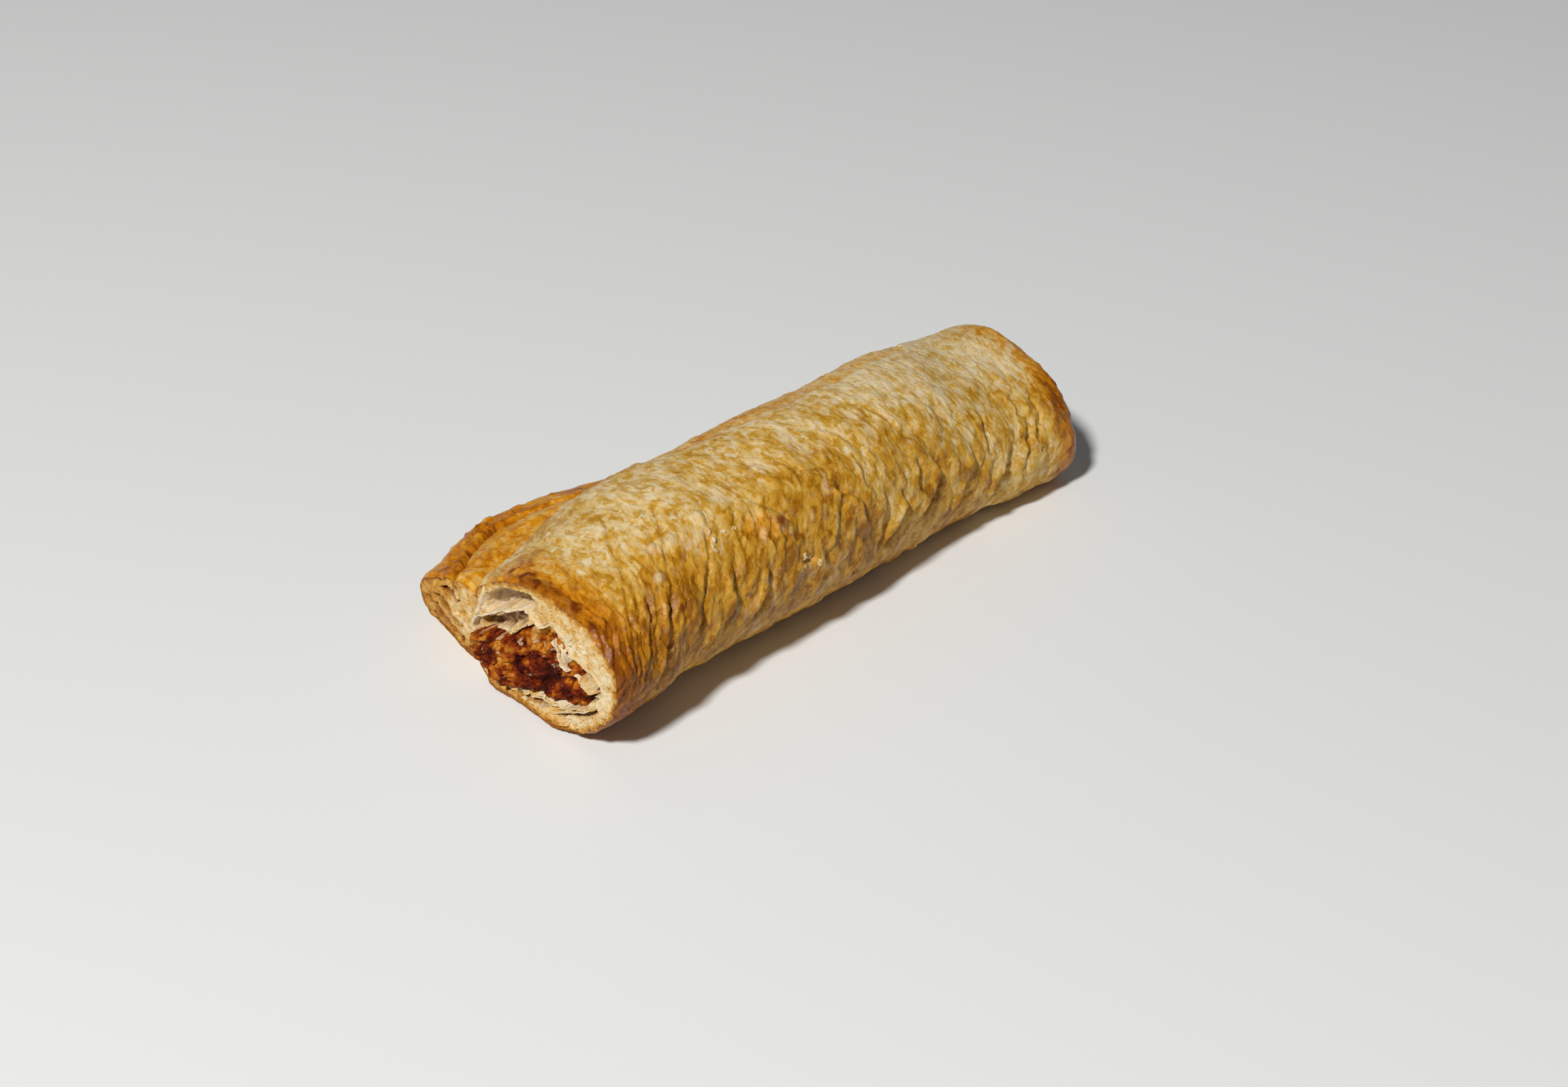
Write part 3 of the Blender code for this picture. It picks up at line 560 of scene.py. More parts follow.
def skin_relief(points, shares, edge):
    """Height of the skin in mm above the smooth form, its tones, and leaning places along."""
    u = points[..., 0] / MM
    v = edge / MM
    share = np.broadcast_to(shares[None, :], u.shape)
    end = LENGTH / MM

    # Regions of the skin.
    on_flap = rise(FOLD_SHARE - share, -0.004, 0.004) * rise(share, 0.1, 0.2)
    under = rise(0.08 - np.minimum(share, 1 - share), 0, 0.06)
    lean = 0.4 * np.maximum(v - 78, 0) - 0.25 * rise(60 - v, 0, 30) * (60 - v)
    lean_u = u + lean + 1.2 * clouds(u, v, 24, 21, 2)
    front = rise(share, 0.6, 0.72) * fall(share, 0.9, 0.97)
    top = rise(share, FOLD_SHARE, 0.48) * fall(share, 0.62, 0.72)
    near = fall(u, 6, 44)
    lower = rise(v, 62, 88)
    tube = (1 - on_flap) * (1 - under)

    # Swellings, folds and leaves, creases, the flap, the top layer and the marks.
    height = 0.55 * swell(points, 11, 46 * MM) + 0.25 * swell(points, 12, 15 * MM)
    wide, wide_edge = folded(lean_u, v, 31, 7.5, 16)
    slim, slim_edge = folded(lean_u + 3, v, 35, 2.7, 9)
    strength = 0.5 + 0.5 * clouds(u, v, (12, 10), 39, 2)
    height += tube * (0.1 + 0.7 * front) * strength * (wide - 0.5)
    height += tube * (0.04 + 0.05 * front + 0.5 * near * lower) * (slim - 0.5)
    leaves = clouds(lean_u, v, (10, 22), 51, 5) * 3.4
    part = leaves - np.floor(leaves)
    leaf_edge = bell(np.minimum(part, 1 - part) / 0.05)
    height += tube * 0.2 * (rise(part, 0.0, 0.08) - part)
    height += 0.11 * clouds(lean_u, v, (2.0, 3.0), 71, 3)
    height += 0.3 * domes(u, v, 73, 460, 2.2, 1.4) * tube * (1 - 0.6 * front)
    height += 0.5 * domes(u, v, 75, 130, 5.0, 1.3) * tube * (0.15 + front)
    deep, crease_shade = crease_relief(u, v)
    height += deep
    raised, groove, rim, flap_lip = flap_relief(u, v, share)
    height += raised
    border = np.interp(u, TOP_LAYER_PLACES, TOP_LAYER_SHARES) + 0.009 * clouds(u, v, 6, 83, 4) + 0.004
    glazed_back = rise(border - share, -0.003, 0.003)
    sheet = (1 - glazed_back) * tube * fall(share, 0.55, 0.64)
    height += (0.55 + 0.45 * fall(u, 25, 55)) * sheet
    sheet_edge = bell((share - border - 0.005) / 0.005) * tube
    sheet_edge = sheet_edge * rise(clouds(u, v, 3, 85, 3), -0.6, 0.1)
    ragged = rise(patch(u, v, TORN_PATCH) + 0.35 * clouds(u, v, 2.2, 81, 4), 0.42, 0.52)
    height -= 0.6 * ragged + 1.5 * patch(u, v, CRUMB_HOLE)
    pale = np.zeros_like(u)
    for mark in PALE_SPOTS:
        blister = patch(u, v, mark)
        height += 0.45 * blister
        pale = np.maximum(pale, blister)

    # Browning, glaze, pale flecks, burnt marks and painted shade.
    streaks = clouds(lean_u, v, (3.6, 6.5), 91, 5)
    fine = clouds(lean_u, v, (1.1, 3.2), 93, 3)
    patches = clouds(u, v, 15, 95, 3)
    # The front is browner: partly its own browning, partly painted shade on the side away from the light,
    # darkest towards the underside.
    brown = 0.37 + 0.17 * streaks + 0.06 * fine + 0.17 * patches + 0.14 * front
    brown += 0.1 * front + 0.16 * rise(v, 80, 100) * front
    brown -= (0.08 + 0.13 * top) * rise(u, 80, 130)
    brown += 0.16 * near * lower + 0.06 * near
    rim_near = fall(u, 3, 15) * rise(v, 32, 46)
    brown += 0.11 * rim_near
    brown += 0.05 * patch(u, v, BROWN_PATCH)
    brown += 0.3 * rise(u, end - 13, end - 2) * rise(v, 25, 50)
    # Painted shade where the folds and leaves drop.
    brown += tube * (0.11 * wide_edge * front + 0.09 * slim_edge * near * lower + 0.06 * leaf_edge)
    glaze = np.maximum.reduce([
        np.clip(glazed_back * tube * (0.75 + 0.3 * streaks) + on_flap, 0, 1),
        0.36 * near * lower * rise(streaks, -0.5, 0.3) * tube,
        0.85 * rise(u, end - 12, end - 3) * tube,
        0.9 * rim_near * tube,
        0.45 * ragged,
    ])
    blotches = clouds(u, v, 3.4, 96, 4)
    flap_brown = 0.38 + 0.12 * patches + 0.2 * rim + (0.14 + 0.16 * rim) * blotches
    # Painted shade in the flap's groove; the lip beside it is paler.
    flap_brown += 0.35 * groove - 0.25 * flap_lip
    brown = brown * (1 - on_flap) + on_flap * flap_brown
    brown = brown * (1 - under) + under * (0.62 + 0.2 * streaks)
    glaze = glaze * (1 - under) + under * 0.5
    brown -= 0.04 * ragged
    flecks = rise(clouds(lean_u, v, (2.2, 5.5), 97, 4), 0.4, 0.85) * tube
    flecks *= 0.1 + 0.9 * rise(u, 9, 24)
    flecks = flecks * (0.5 + 0.5 * top) * (1 - 0.7 * near * lower)
    pale = np.maximum.reduce([pale, flecks, 0.8 * sheet_edge])
    # Burnt marks, with painted shade in the creases and the flap's groove.
    scorch_and_shade = np.maximum.reduce([burnt_marks(u, v), crease_shade * (0.08 + 0.14 * near), 0.55 * groove])
    return height, tones(brown, pale, scorch_and_shade, glaze), lean_u


def skin_parts():
    """The flap's and the tube's skin, and their first and last rings."""
    rows, shares, edge, points, normal = skin_grid()
    height, tone, lean_u = skin_relief(points, shares, edge)
    height = height * MM
    to_end = np.minimum(rows, LENGTH - rows)[:, None]
    height -= END_ROUNDING * fall(to_end, 0, END_ROUNDING_LENGTH)
    height *= rise(points[..., 2], -1 * MM, 4 * MM)
    along = points[..., 0].copy()
    points = points + normal * height[..., None]
    points[..., 0] = along + 0.6 * (points[..., 0] - along) * rise(to_end, 0, 4 * MM)
    points[..., 2] = np.maximum(points[..., 2], 0)
    setback = FLAP_SETBACK * rise(points[..., 1], SETBACK_FROM_Y, SETBACK_TO_Y)
    points[..., 0] += setback * fall(rows, 0, SETBACK_LENGTH)[:, None]
    fray = END_FRAY * clouds(edge, along, (3 * MM, 30 * MM), 23, 4)
    points[..., 0] -= fray * fall(to_end, 0, END_FRAY_LENGTH)
    place = np.stack([lean_u * MM, edge, along], -1)
    last = FLAP_SHARES - 1
    flap_place = np.stack([along, 1.7 * edge, along], -1)
    flap = [a[:, :FLAP_SHARES] for a in (points, tone, flap_place)]
    tube = [np.concatenate([a[:, last:], a[:, :1]], 1) for a in (points, tone, place)]
    tube[1][:, -1] = tube[1][:, -2]
    tube[2][:, -1] = 2 * tube[2][:, -2] - tube[2][:, -3]
    return flap, tube, points[0], points[-1]


def from_end(depth, far):
    """Place along the roll at a depth in from one end."""
    return LENGTH - depth if far else depth


def core_centre(s):
    """Middle of the filling at a share of the length."""
    p = section_sizes(s)
    y = p.centre_y[:, 0] + CORE_OFFSET_Y
    z = p.centre_z[:, 0] - ease(CORE_DROP, np.atleast_1d(s)) * MM
    return y, z


def core_reach(far, angle):
    """Reach of the filling from its middle at one end."""
    if far:
        lean = angle + CORE_TILT
        oval = 1 / np.hypot(np.cos(lean) / CORE_HALF_WIDTH, np.sin(lean) / CORE_HALF_HEIGHT)
        reach = oval * (1 + 0.05 * np.sin(3 * angle + 0.7) + 0.04 * np.sin(5 * angle))
    else:
        turn = ((angle + 0.5 * np.pi) / (2 * np.pi)) % 1.0
        keys = NEAR_CORE_REACH[-2:] + NEAR_CORE_REACH + NEAR_CORE_REACH[:3]
        reach = ease(keys, (turn * len(NEAR_CORE_REACH) + 2) / (len(keys) - 1)) * MM
    fringe = clouds(np.cos(angle) * reach, np.sin(angle) * reach, 1.8 * MM, 27, 3)
    return reach + 0.35 * MM * fringe


def near_face(y, z, inward):
    """How far the cut end stands in, in mm, and its tones, at places in mm."""
    ny = y + 0.55 * clouds(y, z, 2.4, 201, 4)
    nz = z + 0.55 * clouds(y, z, 2.4, 205, 4)
    on_flap = rise(y, 31, 36)
    offset = FLAP_SETBACK / MM * rise(y, SETBACK_FROM_Y / MM, SETBACK_TO_Y / MM)
    crumb = clouds(y, z, 1.4, 211, 4)
    cells = pores(y, z)
    layers = np.sin(2 * np.pi * (inward / 0.95 + 0.6 * clouds(y, z, 4, 221, 3)))
    low_right = rise(13 - z, -3, 5) * rise(8 - y, -6, 8)
    low = fall(z, 6, 10)
    body = (0.34 - 0.16 * low) * crumb + 0.5 * clouds(y, z, 5, 231, 2) + 0.4 * cells
    layers_show = (0.08 + 0.2 * low_right) * (1 - 0.9 * on_flap)
    body += layers_show * layers * rise(clouds(y, z, 3, 225, 2), -0.5, 0.3)
    brown = 0.3 + 0.24 * clouds(y, z, 2.6, 241, 4) + 0.1 * on_flap
    brown += (0.6 - 0.25 * on_flap) * bell(inward / 1.3) + 0.25 * cells
    hollow = fall(stroke(ny, nz, HOLLOW)[0], 1.7, 2.6)
    lip = fall(stroke(ny, nz, LIP_POCKET)[0], 1.0, 1.9)
    right = fall(stroke(ny, nz, RIGHT_POCKET)[0], 1.7, 2.7)
    body += 4.6 * hollow + 0.9 * hollow * clouds(y, z, 2, 233, 2)
    body += 2.6 * lip
    body += 4.2 * right
    grey = np.maximum(hollow, right)
    meat = np.maximum(lip * rise(clouds(y, z, 1.3, 251, 3), -0.8, 0.0),
                      0.25 * right * rise(crumb, -0.2, 0.4))
    # Gaps and slits, with painted shade inside them.
    deep_shade = np.zeros_like(y)
    for line, wide, deep in GAPS:
        gap = fall(stroke(ny, nz, line)[0], 0.5 * wide, 1.5 * wide)
        body += deep * gap
        deep_shade = np.maximum(deep_shade, gap)
    for line, wide, deep in SLITS:
        off, _, place = stroke(0.6 * y + 0.4 * ny, 0.6 * z + 0.4 * nz, line)
        narrow = wide * (0.4 + 0.6 * np.sin(np.pi * np.clip(place, 0.03, 0.97)))
        slit = fall(off, 0.4 * narrow, 1.3 * narrow)
        body += deep * slit
        deep_shade = np.maximum(deep_shade, 1.1 * fall(off, 0.8 * narrow, 1.7 * narrow))
    under = fall(z, 2, 6) * fall(y, 24, 32) * rise(y, -6, 4)
    body -= 1.4 * under
    flap_top = on_flap * rise(z, 13, 16) * rise(y, 44, 52)
    brown += 0.32 * on_flap * fall(z, 2, 7) + 0.12 * flap_top
    brown += 0.24 * on_flap * rise(y, 40, 50)
    brown += 0.5 * fall(z, 1.2, 4.0)
    offset = offset + body * rise(inward, 0, 0.7)
    return offset, tones(brown, grey, 0.8 * deep_shade, meat)


def pores(y, z):
    """Small pores of the crumb, 0 to 1."""
    return rise(clouds(y, z, 1.1, 261, 3), 0.35, 0.75)


def far_face(y, z, inward):
    """The same as near_face for the end that faces away."""
    crumb = clouds(y, z, 1.4, 311, 4)
    layers = np.sin(2 * np.pi * (inward / 1.3 + 1.1 * clouds(y, z, 5, 321, 4)))
    layers = layers * rise(clouds(y, z, 3.5, 325, 3), -0.3, 0.5)
    body = 0.34 * crumb + 0.22 * layers + 0.6 * clouds(y, z, 6, 331, 2) + 0.35 * pores(y, z)
    pit = np.zeros_like(y)
    ragged = 1.1 * clouds(y, z, 2.6, 345, 4)
    for line, wide, deep in FAR_GAPS:
        off, _, place = stroke(y + ragged, z + ragged, line)
        narrow = wide * (0.25 + 0.75 * np.sin(np.pi * np.clip(place, 0.02, 0.98)))
        gap = fall(off, narrow, 1.8 * narrow)
        body += deep * gap
        pit = np.maximum(pit, gap)
    brown = 0.28 + 0.16 * clouds(y, z, 3, 341, 4) + 0.8 * bell(inward / 0.9)
    brown += 0.35 * fall(z, 0.5, 3.5)
    offset = body * rise(inward, 0, 0.7)
    # Painted shade in the gaps: greyer and darker.
    return offset, tones(brown, 0.4 * pit, 0.25 * pit, 0)


def face_points(ring, far):
    """Rings of an end face from the skin's last ring to the filling, and their directions."""
    middle = (ring + np.roll(ring, -1, axis=0)) / 2
    ring = np.stack([ring, middle], 1).reshape(-1, 3)
    centre_y, centre_z = core_centre(1.0 if far else 0.0)
    angle = np.arctan2(ring[:, 2] - centre_z, ring[:, 1] - centre_y)
    reach = core_reach(far, angle)
    hole_y = centre_y + reach * np.cos(angle)
    hole_z = centre_z + reach * np.sin(angle)
    f = np.linspace(0, 1, FAR_FACE_RINGS if far else NEAR_FACE_RINGS)[:, None]
    y = ring[:, 1] * (1 - f) + hole_y * f
    z = ring[:, 2] * (1 - f) + hole_z * f
    inward = f * np.hypot(ring[:, 1] - hole_y, ring[:, 2] - hole_z)
    offset, tone = (far_face if far else near_face)(y / MM, z / MM, inward / MM)
    x = from_end(offset * MM, far)
    start = ring[:, 0] - x[0]
    x = x + start * fall(inward, 0, 1.0 * MM)
    back = np.stack([np.full_like(hole_y, from_end(END_DEPTH, far)), hole_y, hole_z], -1)
    points = np.concatenate([np.stack([x, y, z], -1), back[None]])
    tone = np.concatenate([tone, tone[-1:]])
    place = np.stack([y, z, offset * MM], -1)
    place = np.concatenate([place, place[-1:]])
    return points, tone, place, angle


def core_points(angle, far):
    """The filling's end as rings from its middle to its rim, and back along its side."""
    centre_y, centre_z = core_centre(1.0 if far else 0.0)
    reach = core_reach(far, angle) - CORE_CLEARANCE
    f = np.linspace(0.01, 1, CORE_RINGS)[:, None]
    y = centre_y + reach * np.cos(angle) * f
    z = centre_z + reach * np.sin(angle) * f
    u = y / MM
    v = z / MM
    lumps = np.abs(clouds(u, v, 5.4, 401, 3))
    grit = clouds(u, v, 1.5, 405, 4)
    ridges = 1 - np.abs(clouds(u, v, 2.6, 409, 3))
    offset = 0.9 - 2.1 * lumps - 0.55 * grit - 0.7 * rise(ridges, 0.6, 1.0)
    if far:
        offset += 0.9
    else:
        offset += 0.9 - 4.2 * rise(u, 2, 26)
        offset += 1.3 * rise(v, 17, 26)
    offset += 1.8 * rise(f, 0.84, 1.0) ** 2
    points = np.stack([from_end(offset * MM, far), y, z], -1)
    back = points[-1:].copy()
    back[..., 0] = from_end(END_DEPTH, far)
    mottle = clouds(u, v, 3.6, 411, 4)
    if far:
        crust = 0.55 + 0.45 * mottle
        light = 0
        crumbs = rise(clouds(u, v, 1.5, 421, 3), 0.6, 0.9)
    else:
        core = patch(u, v, (8, 13.5, 10, 4.5), 0.4, 1.3)
        tip = patch(u, v, (-8, 13.5, 5, 3), 0.5, 1.3)
        crust = 0.52 + 0.5 * mottle + 0.26 * core + 0.15 * tip
        crust = crust + 0.3 * (0.5 - rise(lumps, 0, 0.6))
        crust += 0.16 * rise(u, 17, 25) * rise(v, 9, 13)
        crust -= 0.2 * rise(u, 20, 30) * rise(11 - v, 0, 4)
        light = patch(u, v, (4, 24.0, 10, 5.5), 0.55, 1.25)
        light *= rise(clouds(u, v, 3, 415, 3), -0.8, 0.2)
        spots = [patch(u, v, (spot_u, spot_v, half, 0.7 * half)) for spot_u, spot_v, half in MEAT_CRUMBS]
        crumbs = clouds(u, v, 1.3, 421, 3) + 0.9 * np.maximum.reduce(spots)
        crumbs = rise(crumbs, 0.75, 1.0)
        points[..., 0] -= 0.5 * MM * crumbs
    tone = tones(crust, light, crumbs, rise(grit, -0.2, 0.9))
    points = np.concatenate([points, back])
    return points, np.concatenate([tone, tone[-1:]]), points[..., [1, 2, 0]]


def leaf_points(line, inner, outer, thick, ragged, dark, seed, far):
    """Rings along a thin leaf that stands out of an end face."""
    line = np.array(line, float)
    rows = np.linspace(0, 1, LEAF_ROWS)
    y = ease(line[:, 0], rows)
    z = ease(line[:, 1], rows)
    step = np.stack([np.gradient(y), np.gradient(z)], -1)
    length = np.cumsum(np.hypot(step[:, 0], step[:, 1]))
    step /= np.linalg.norm(step, axis=-1, keepdims=True)
    normal_y = -step[:, 1]
    normal_z = step[:, 0]
    fade = rise(rows, 0, 0.1) * fall(rows, 0.9, 1.0)
    reach = outer + ragged * clouds(length, 0 * length + seed, (2.6, 1), 501 + seed, 3)
    reach = -inner + (reach + inner) * (0.25 + 0.75 * fade)
    wave = 0.45 * clouds(length, 0 * length + 3 * seed, (4, 1), 503 + seed, 3)
    w = np.linspace(0, 1, LEAF_STEPS)
    x = inner + (-reach - inner)[:, None] * w[None, :]
    half = 0.5 * thick * (0.35 + 0.65 * np.sqrt(np.clip(1 - w**3, 0, 1)))[None, :]
    half = half * (0.4 + 0.6 * fade)[:, None]
    half = half * (1 + 0.4 * clouds(length[:, None], w[None, :] * 3, (1.2, 1), 507 + seed, 3))
    curl = wave[:, None] + 0.35 * clouds(length[:, None], w[None, :], (3, 1), 509 + seed, 2)
    curl = curl * w[None, :] ** 1.5
    sheets = []
    for sign in (1, -1):
        off = curl + sign * half
        sheet_y = y[:, None] + normal_y[:, None] * off
        sheet_z = z[:, None] + normal_z[:, None] * off
        sheets.append(np.stack([x, sheet_y, sheet_z], -1))
    ring = np.concatenate([sheets[0], sheets[1][:, ::-1]], 1) * MM
    ring[0] = ring[0].mean(0)
    ring[-1] = ring[-1].mean(0)
    ring[..., 2] = np.maximum(ring[..., 2], 0.2 * MM)
    grey = 0.35 * rise(ring[..., 0] / MM, 0, 3)
    ring[..., 0] = from_end(ring[..., 0], far)
    brown = dark + 0.14 * clouds(ring[..., 1], ring[..., 2], 2 * MM, 511 + seed, 3)
    return ring, tones(brown, grey, 0, 0), ring[..., [1, 2, 0]]


def crumb_points(centre, out, size, seed):
    """Rings of one crumb that is baked onto the skin."""
    rng = np.random.default_rng(seed)
    lengthwise = np.cross(out, rng.normal(size=3))
    lengthwise /= np.linalg.norm(lengthwise)
    sideways = np.cross(out, lengthwise)
    polar = np.linspace(0, np.pi, CRUMB_RINGS)[:, None]
    turn = np.linspace(0, 2 * np.pi, CRUMB_SIDES + 1)[None, :-1]
    across = np.sin(polar) * np.cos(turn)
    along = np.sin(polar) * np.sin(turn)
    up = np.cos(polar) * np.ones_like(turn)
    shape = 1 + 0.5 * clouds(1.3 * across + 5 * seed, 1.3 * along + up, 1, 601, 3)
    flat = across[..., None] * lengthwise + 0.65 * along[..., None] * sideways
    points = centre + size * shape[..., None] * (flat + 0.5 * up[..., None] * out)
    brown = 0.15 + 0.25 * rng.uniform() + 0.3 * (shape - 1)
    return points, tones(brown, 0, 0, 0), points


def quads_between(rows, count, around):
    """Faces between rows of points, which meet their own starts where they go all the way around."""
    i = np.arange(rows - 1)[:, None] * count
    j = np.arange(count if around else count - 1)[None, :]
    k = (j + 1) % count
    return np.stack([i + j, i + k, i + count + k, i + count + j], -1).reshape(-1, 4)


def joined(parts):
    """Separate closed rows of rings as one mesh's points, tones, places and faces."""
    faces = []
    start = 0
    for ring, _, _ in parts:
        rows, count = ring.shape[:2]
        faces += (start + quads_between(rows, count, True)).tolist()
        start += rows * count
    stacks = [np.concatenate([a.reshape(-1, a.shape[-1]) for a in arrays]) for arrays in zip(*parts)]
    return (*stacks, faces)


def make_piece(name, points, tone, places, faces):
    """A mesh in the part's frame, with its tones and its places in mm as attributes."""
    mesh = bpy.data.meshes.new(name)
    mesh.from_pydata((points - np.array([LENGTH / 2, REST_Y, 0])).tolist(), [], faces)
    mesh.update()
    mesh.shade_smooth()
    colour = mesh.color_attributes.new("tone", "FLOAT_COLOR", "POINT")
    colour.data.foreach_set("color", tone.astype(np.float32).ravel())
    where = mesh.attributes.new("place", "FLOAT_VECTOR", "POINT")
    where.data.foreach_set("vector", (places / MM).astype(np.float32).ravel())
    piece = bpy.data.objects.new(name, mesh)
    bpy.context.scene.collection.objects.link(piece)
    return piece


def grid_piece(name, points, tone, place, around, flip, tip=False):
    """A mesh from rings or open rows of points, where tip closes the first ring with a point."""
    rows, count = points.shape[:2]
    quads = quads_between(rows, count, around)
    faces = (quads[:, ::-1] if flip else quads).tolist()
    stacks = [a.reshape(-1, a.shape[-1]) for a in (points, tone, place)]
    if tip:
        stacks = [np.concatenate([a, a[:count].mean(0, keepdims=True)]) for a in stacks]
        last = rows * count
        for a in range(count):
            b = (a + 1) % count
            faces.append([last, a, b] if flip else [last, b, a])
    return make_piece(name, *stacks, faces)


class Nodes:
    """Short calls for the nodes of one material."""

    def __init__(self, name):
        self.material = bpy.data.materials.new(name)
        self.material.use_nodes = True
        self.tree = self.material.node_tree
        self.shader = self.tree.nodes["Principled BSDF"]

    def add(self, kind, **values):
        node = self.tree.nodes.new("ShaderNode" + kind)
        for key, value in values.items():
            setattr(node, key, value)
        return node

    def link(self, out, into):
        """Links a node's output, or sets a plain number or colour."""
        if isinstance(out, bpy.types.NodeSocket):
            self.tree.links.new(out, into)
        else:
            into.default_value = (*out, 1) if isinstance(out, tuple) else out

    def attribute(self, name):
        return self.add("Attribute", attribute_name=name)

    def stretched(self, scale, move):
        """The places in mm, scaled and moved."""
        mapping = self.add("Mapping")
        mapping.inputs["Scale"].default_value = scale
        mapping.inputs["Location"].default_value = move
        self.link(self.attribute("place").outputs["Vector"], mapping.inputs["Vector"])
        return mapping.outputs["Vector"]

    def noise(self, scale, detail, rough, distort=0.0, move=(0, 0, 0)):
        node = self.add("TexNoise")
        values = {"Scale": 1.0, "Detail": detail, "Roughness": rough, "Distortion": distort}
        for key, value in values.items():
            node.inputs[key].default_value = value
        self.link(self.stretched(scale, move), node.inputs["Vector"])
        return node.outputs["Fac"]

    def math(self, kind, a, b, clamp=False):
        node = self.add("Math", operation=kind, use_clamp=clamp)
        self.link(a, node.inputs[0])
        self.link(b, node.inputs[1])
        return node.outputs[0]

    def spread(self, value, low, high, to_low, to_high):
        """The value from low to high turned softly into to_low to to_high."""
        node = self.add("MapRange", interpolation_type="SMOOTHSTEP")
        self.link(value, node.inputs[0])
        for socket, number in zip(list(node.inputs)[1:5], (low, high, to_low, to_high)):
            socket.default_value = number
        return node.outputs[0]

    def ramp(self, value, stops):
        node = self.add("ValToRGB")
        marks = node.color_ramp.elements
        while len(marks) < len(stops):
            marks.new(0.5)
        for mark, (place, colour) in zip(marks, stops):
            mark.position = place
            mark.color = (*colour, 1)
        self.link(value, node.inputs["Fac"])
        return node.outputs["Color"]

    def mix(self, factor, a, b):
        node = self.add("Mix", data_type="RGBA")
        sockets = [s for s in node.inputs if s.type == "RGBA"]
        self.link(factor, node.inputs[0])
        self.link(a, sockets[0])
        self.link(b, sockets[1])
        return [s for s in node.outputs if s.type == "RGBA"][0]

    def split(self):
        """The four tones of the mesh."""
        parts = self.add("SeparateColor")
        attribute = self.attribute("tone")
        self.link(attribute.outputs["Color"], parts.inputs[0])
        return parts.outputs[0], parts.outputs[1], parts.outputs[2], attribute.outputs["Alpha"]

    def surface(self, colour, specular, roughness):
        self.link(colour, self.shader.inputs["Base Color"])
        self.shader.inputs["Specular IOR Level"].default_value = specular
        self.link(roughness, self.shader.inputs["Roughness"])

    def bump(self, height, strength, distance, coat=False):
        node = self.add("Bump")
        node.inputs["Strength"].default_value = strength
        node.inputs["Distance"].default_value = distance
        self.link(height, node.inputs["Height"])
        self.link(node.outputs["Normal"], self.shader.inputs["Normal"])
        if coat:
            self.link(node.outputs["Normal"], self.shader.inputs["Coat Normal"])


def skin_material():
    n = Nodes("baked_skin")
    brown, pale, scorch_and_shade, glaze = n.split()
    streak = n.noise((0.6, 0.26, 0.0), 5.0, 0.6, 0.4)
    dapple = n.noise((0.42, 0.27, 0.0), 6.0, 0.6, 0.5, (31.0, 7.0, 0.0))
    fleck = n.noise((0.4, 0.3, 0.0), 5.0, 0.6, 0.6, (9.0, 52.0, 0.0))
    speck = n.noise((1.3, 0.9, 0.0), 4.0, 0.6)
    tone = n.math("ADD", brown, n.spread(streak, 0.35, 0.65, -0.1, 0.1))
    tone = n.math("ADD", tone, n.spread(dapple, 0.44, 0.58, -0.14, 0.15))
    tone = n.math("ADD", tone, n.spread(speck, 0.35, 0.65, -0.06, 0.06), True)
    colour = n.mix(glaze, n.ramp(tone, PLAIN_CRUST), n.ramp(tone, GLAZED_CRUST))
    white = n.spread(fleck, 0.54, 0.64, 0.0, 0.8)
    white = n.math("MULTIPLY", white, n.spread(glaze, 0.1, 0.7, 1.0, 0.25))
    white = n.math("MULTIPLY", white, n.spread(brown, 0.38, 0.58, 1.0, 0.12))
    blisters = n.math("MULTIPLY", pale, n.spread(speck, 0.35, 0.6, 0.3, 0.75))
    colour = n.mix(n.math("MAXIMUM", white, blisters), colour, WHITE_FLECK)
    # Burnt marks, and the painted shade of the creases and the flap's groove.
    colour = n.mix(scorch_and_shade, colour, SCORCHED_AND_SHADE)
    roughness = n.spread(tone, 0.2, 0.9, 0.56, 0.42)
    roughness = n.math("SUBTRACT", roughness, n.math("MULTIPLY", glaze, 0.14))
    n.surface(colour, 0.14, roughness)
    n.shader.inputs["Coat Weight"].default_value = 0.16
    n.shader.inputs["Coat Roughness"].default_value = 0.15
    height = n.math("ADD", n.math("MULTIPLY", streak, 0.5), n.math("MULTIPLY", dapple, 0.6))
    height = n.math("ADD", height, n.math("MULTIPLY", speck, 0.22))
    n.bump(height, 0.55, 0.9 * MM, True)
    return n.material


def crumb_material():
    n = Nodes("cut_pastry")
    brown, grey, gap, meat = n.split()
    fine = n.noise((0.9, 0.9, 0.9), 5.0, 0.68)
    tone = n.math("ADD", brown, n.spread(fine, 0.3, 0.7, -0.16, 0.16), True)
    colour = n.mix(n.math("MULTIPLY", grey, 0.8), n.ramp(tone, CRUMB), INSIDE_POCKET)
    colour = n.mix(n.math("MULTIPLY", meat, 0.9), colour, MEAT_IN_POCKET)
    # Painted shade in the gaps and slits.
    colour = n.mix(gap, colour, GAP_SHADE)
    n.surface(colour, 0.25, n.spread(fine, 0.3, 0.7, 0.45, 0.65))
    n.bump(fine, 0.7, 0.8 * MM)
    return n.material


def meat_material():
    n = Nodes("browned_meat")
    crust, light, crumbs, _ = n.split()
    fine = n.noise((0.5, 0.5, 0.5), 7.0, 0.68)
    tone = n.math("ADD", n.spread(fine, 0.36, 0.64, -0.25, 0.25), crust)
    tone = n.math("SUBTRACT", tone, n.math("MULTIPLY", light, 0.42), True)
    colour = n.mix(n.math("MULTIPLY", crumbs, 0.75), n.ramp(tone, MEAT), CRUMB_ON_MEAT)
    n.surface(colour, 0.1, n.spread(fine, 0.3, 0.7, 0.3, 0.5))
    n.bump(fine, 0.8, 0.9 * MM)
    return n.material


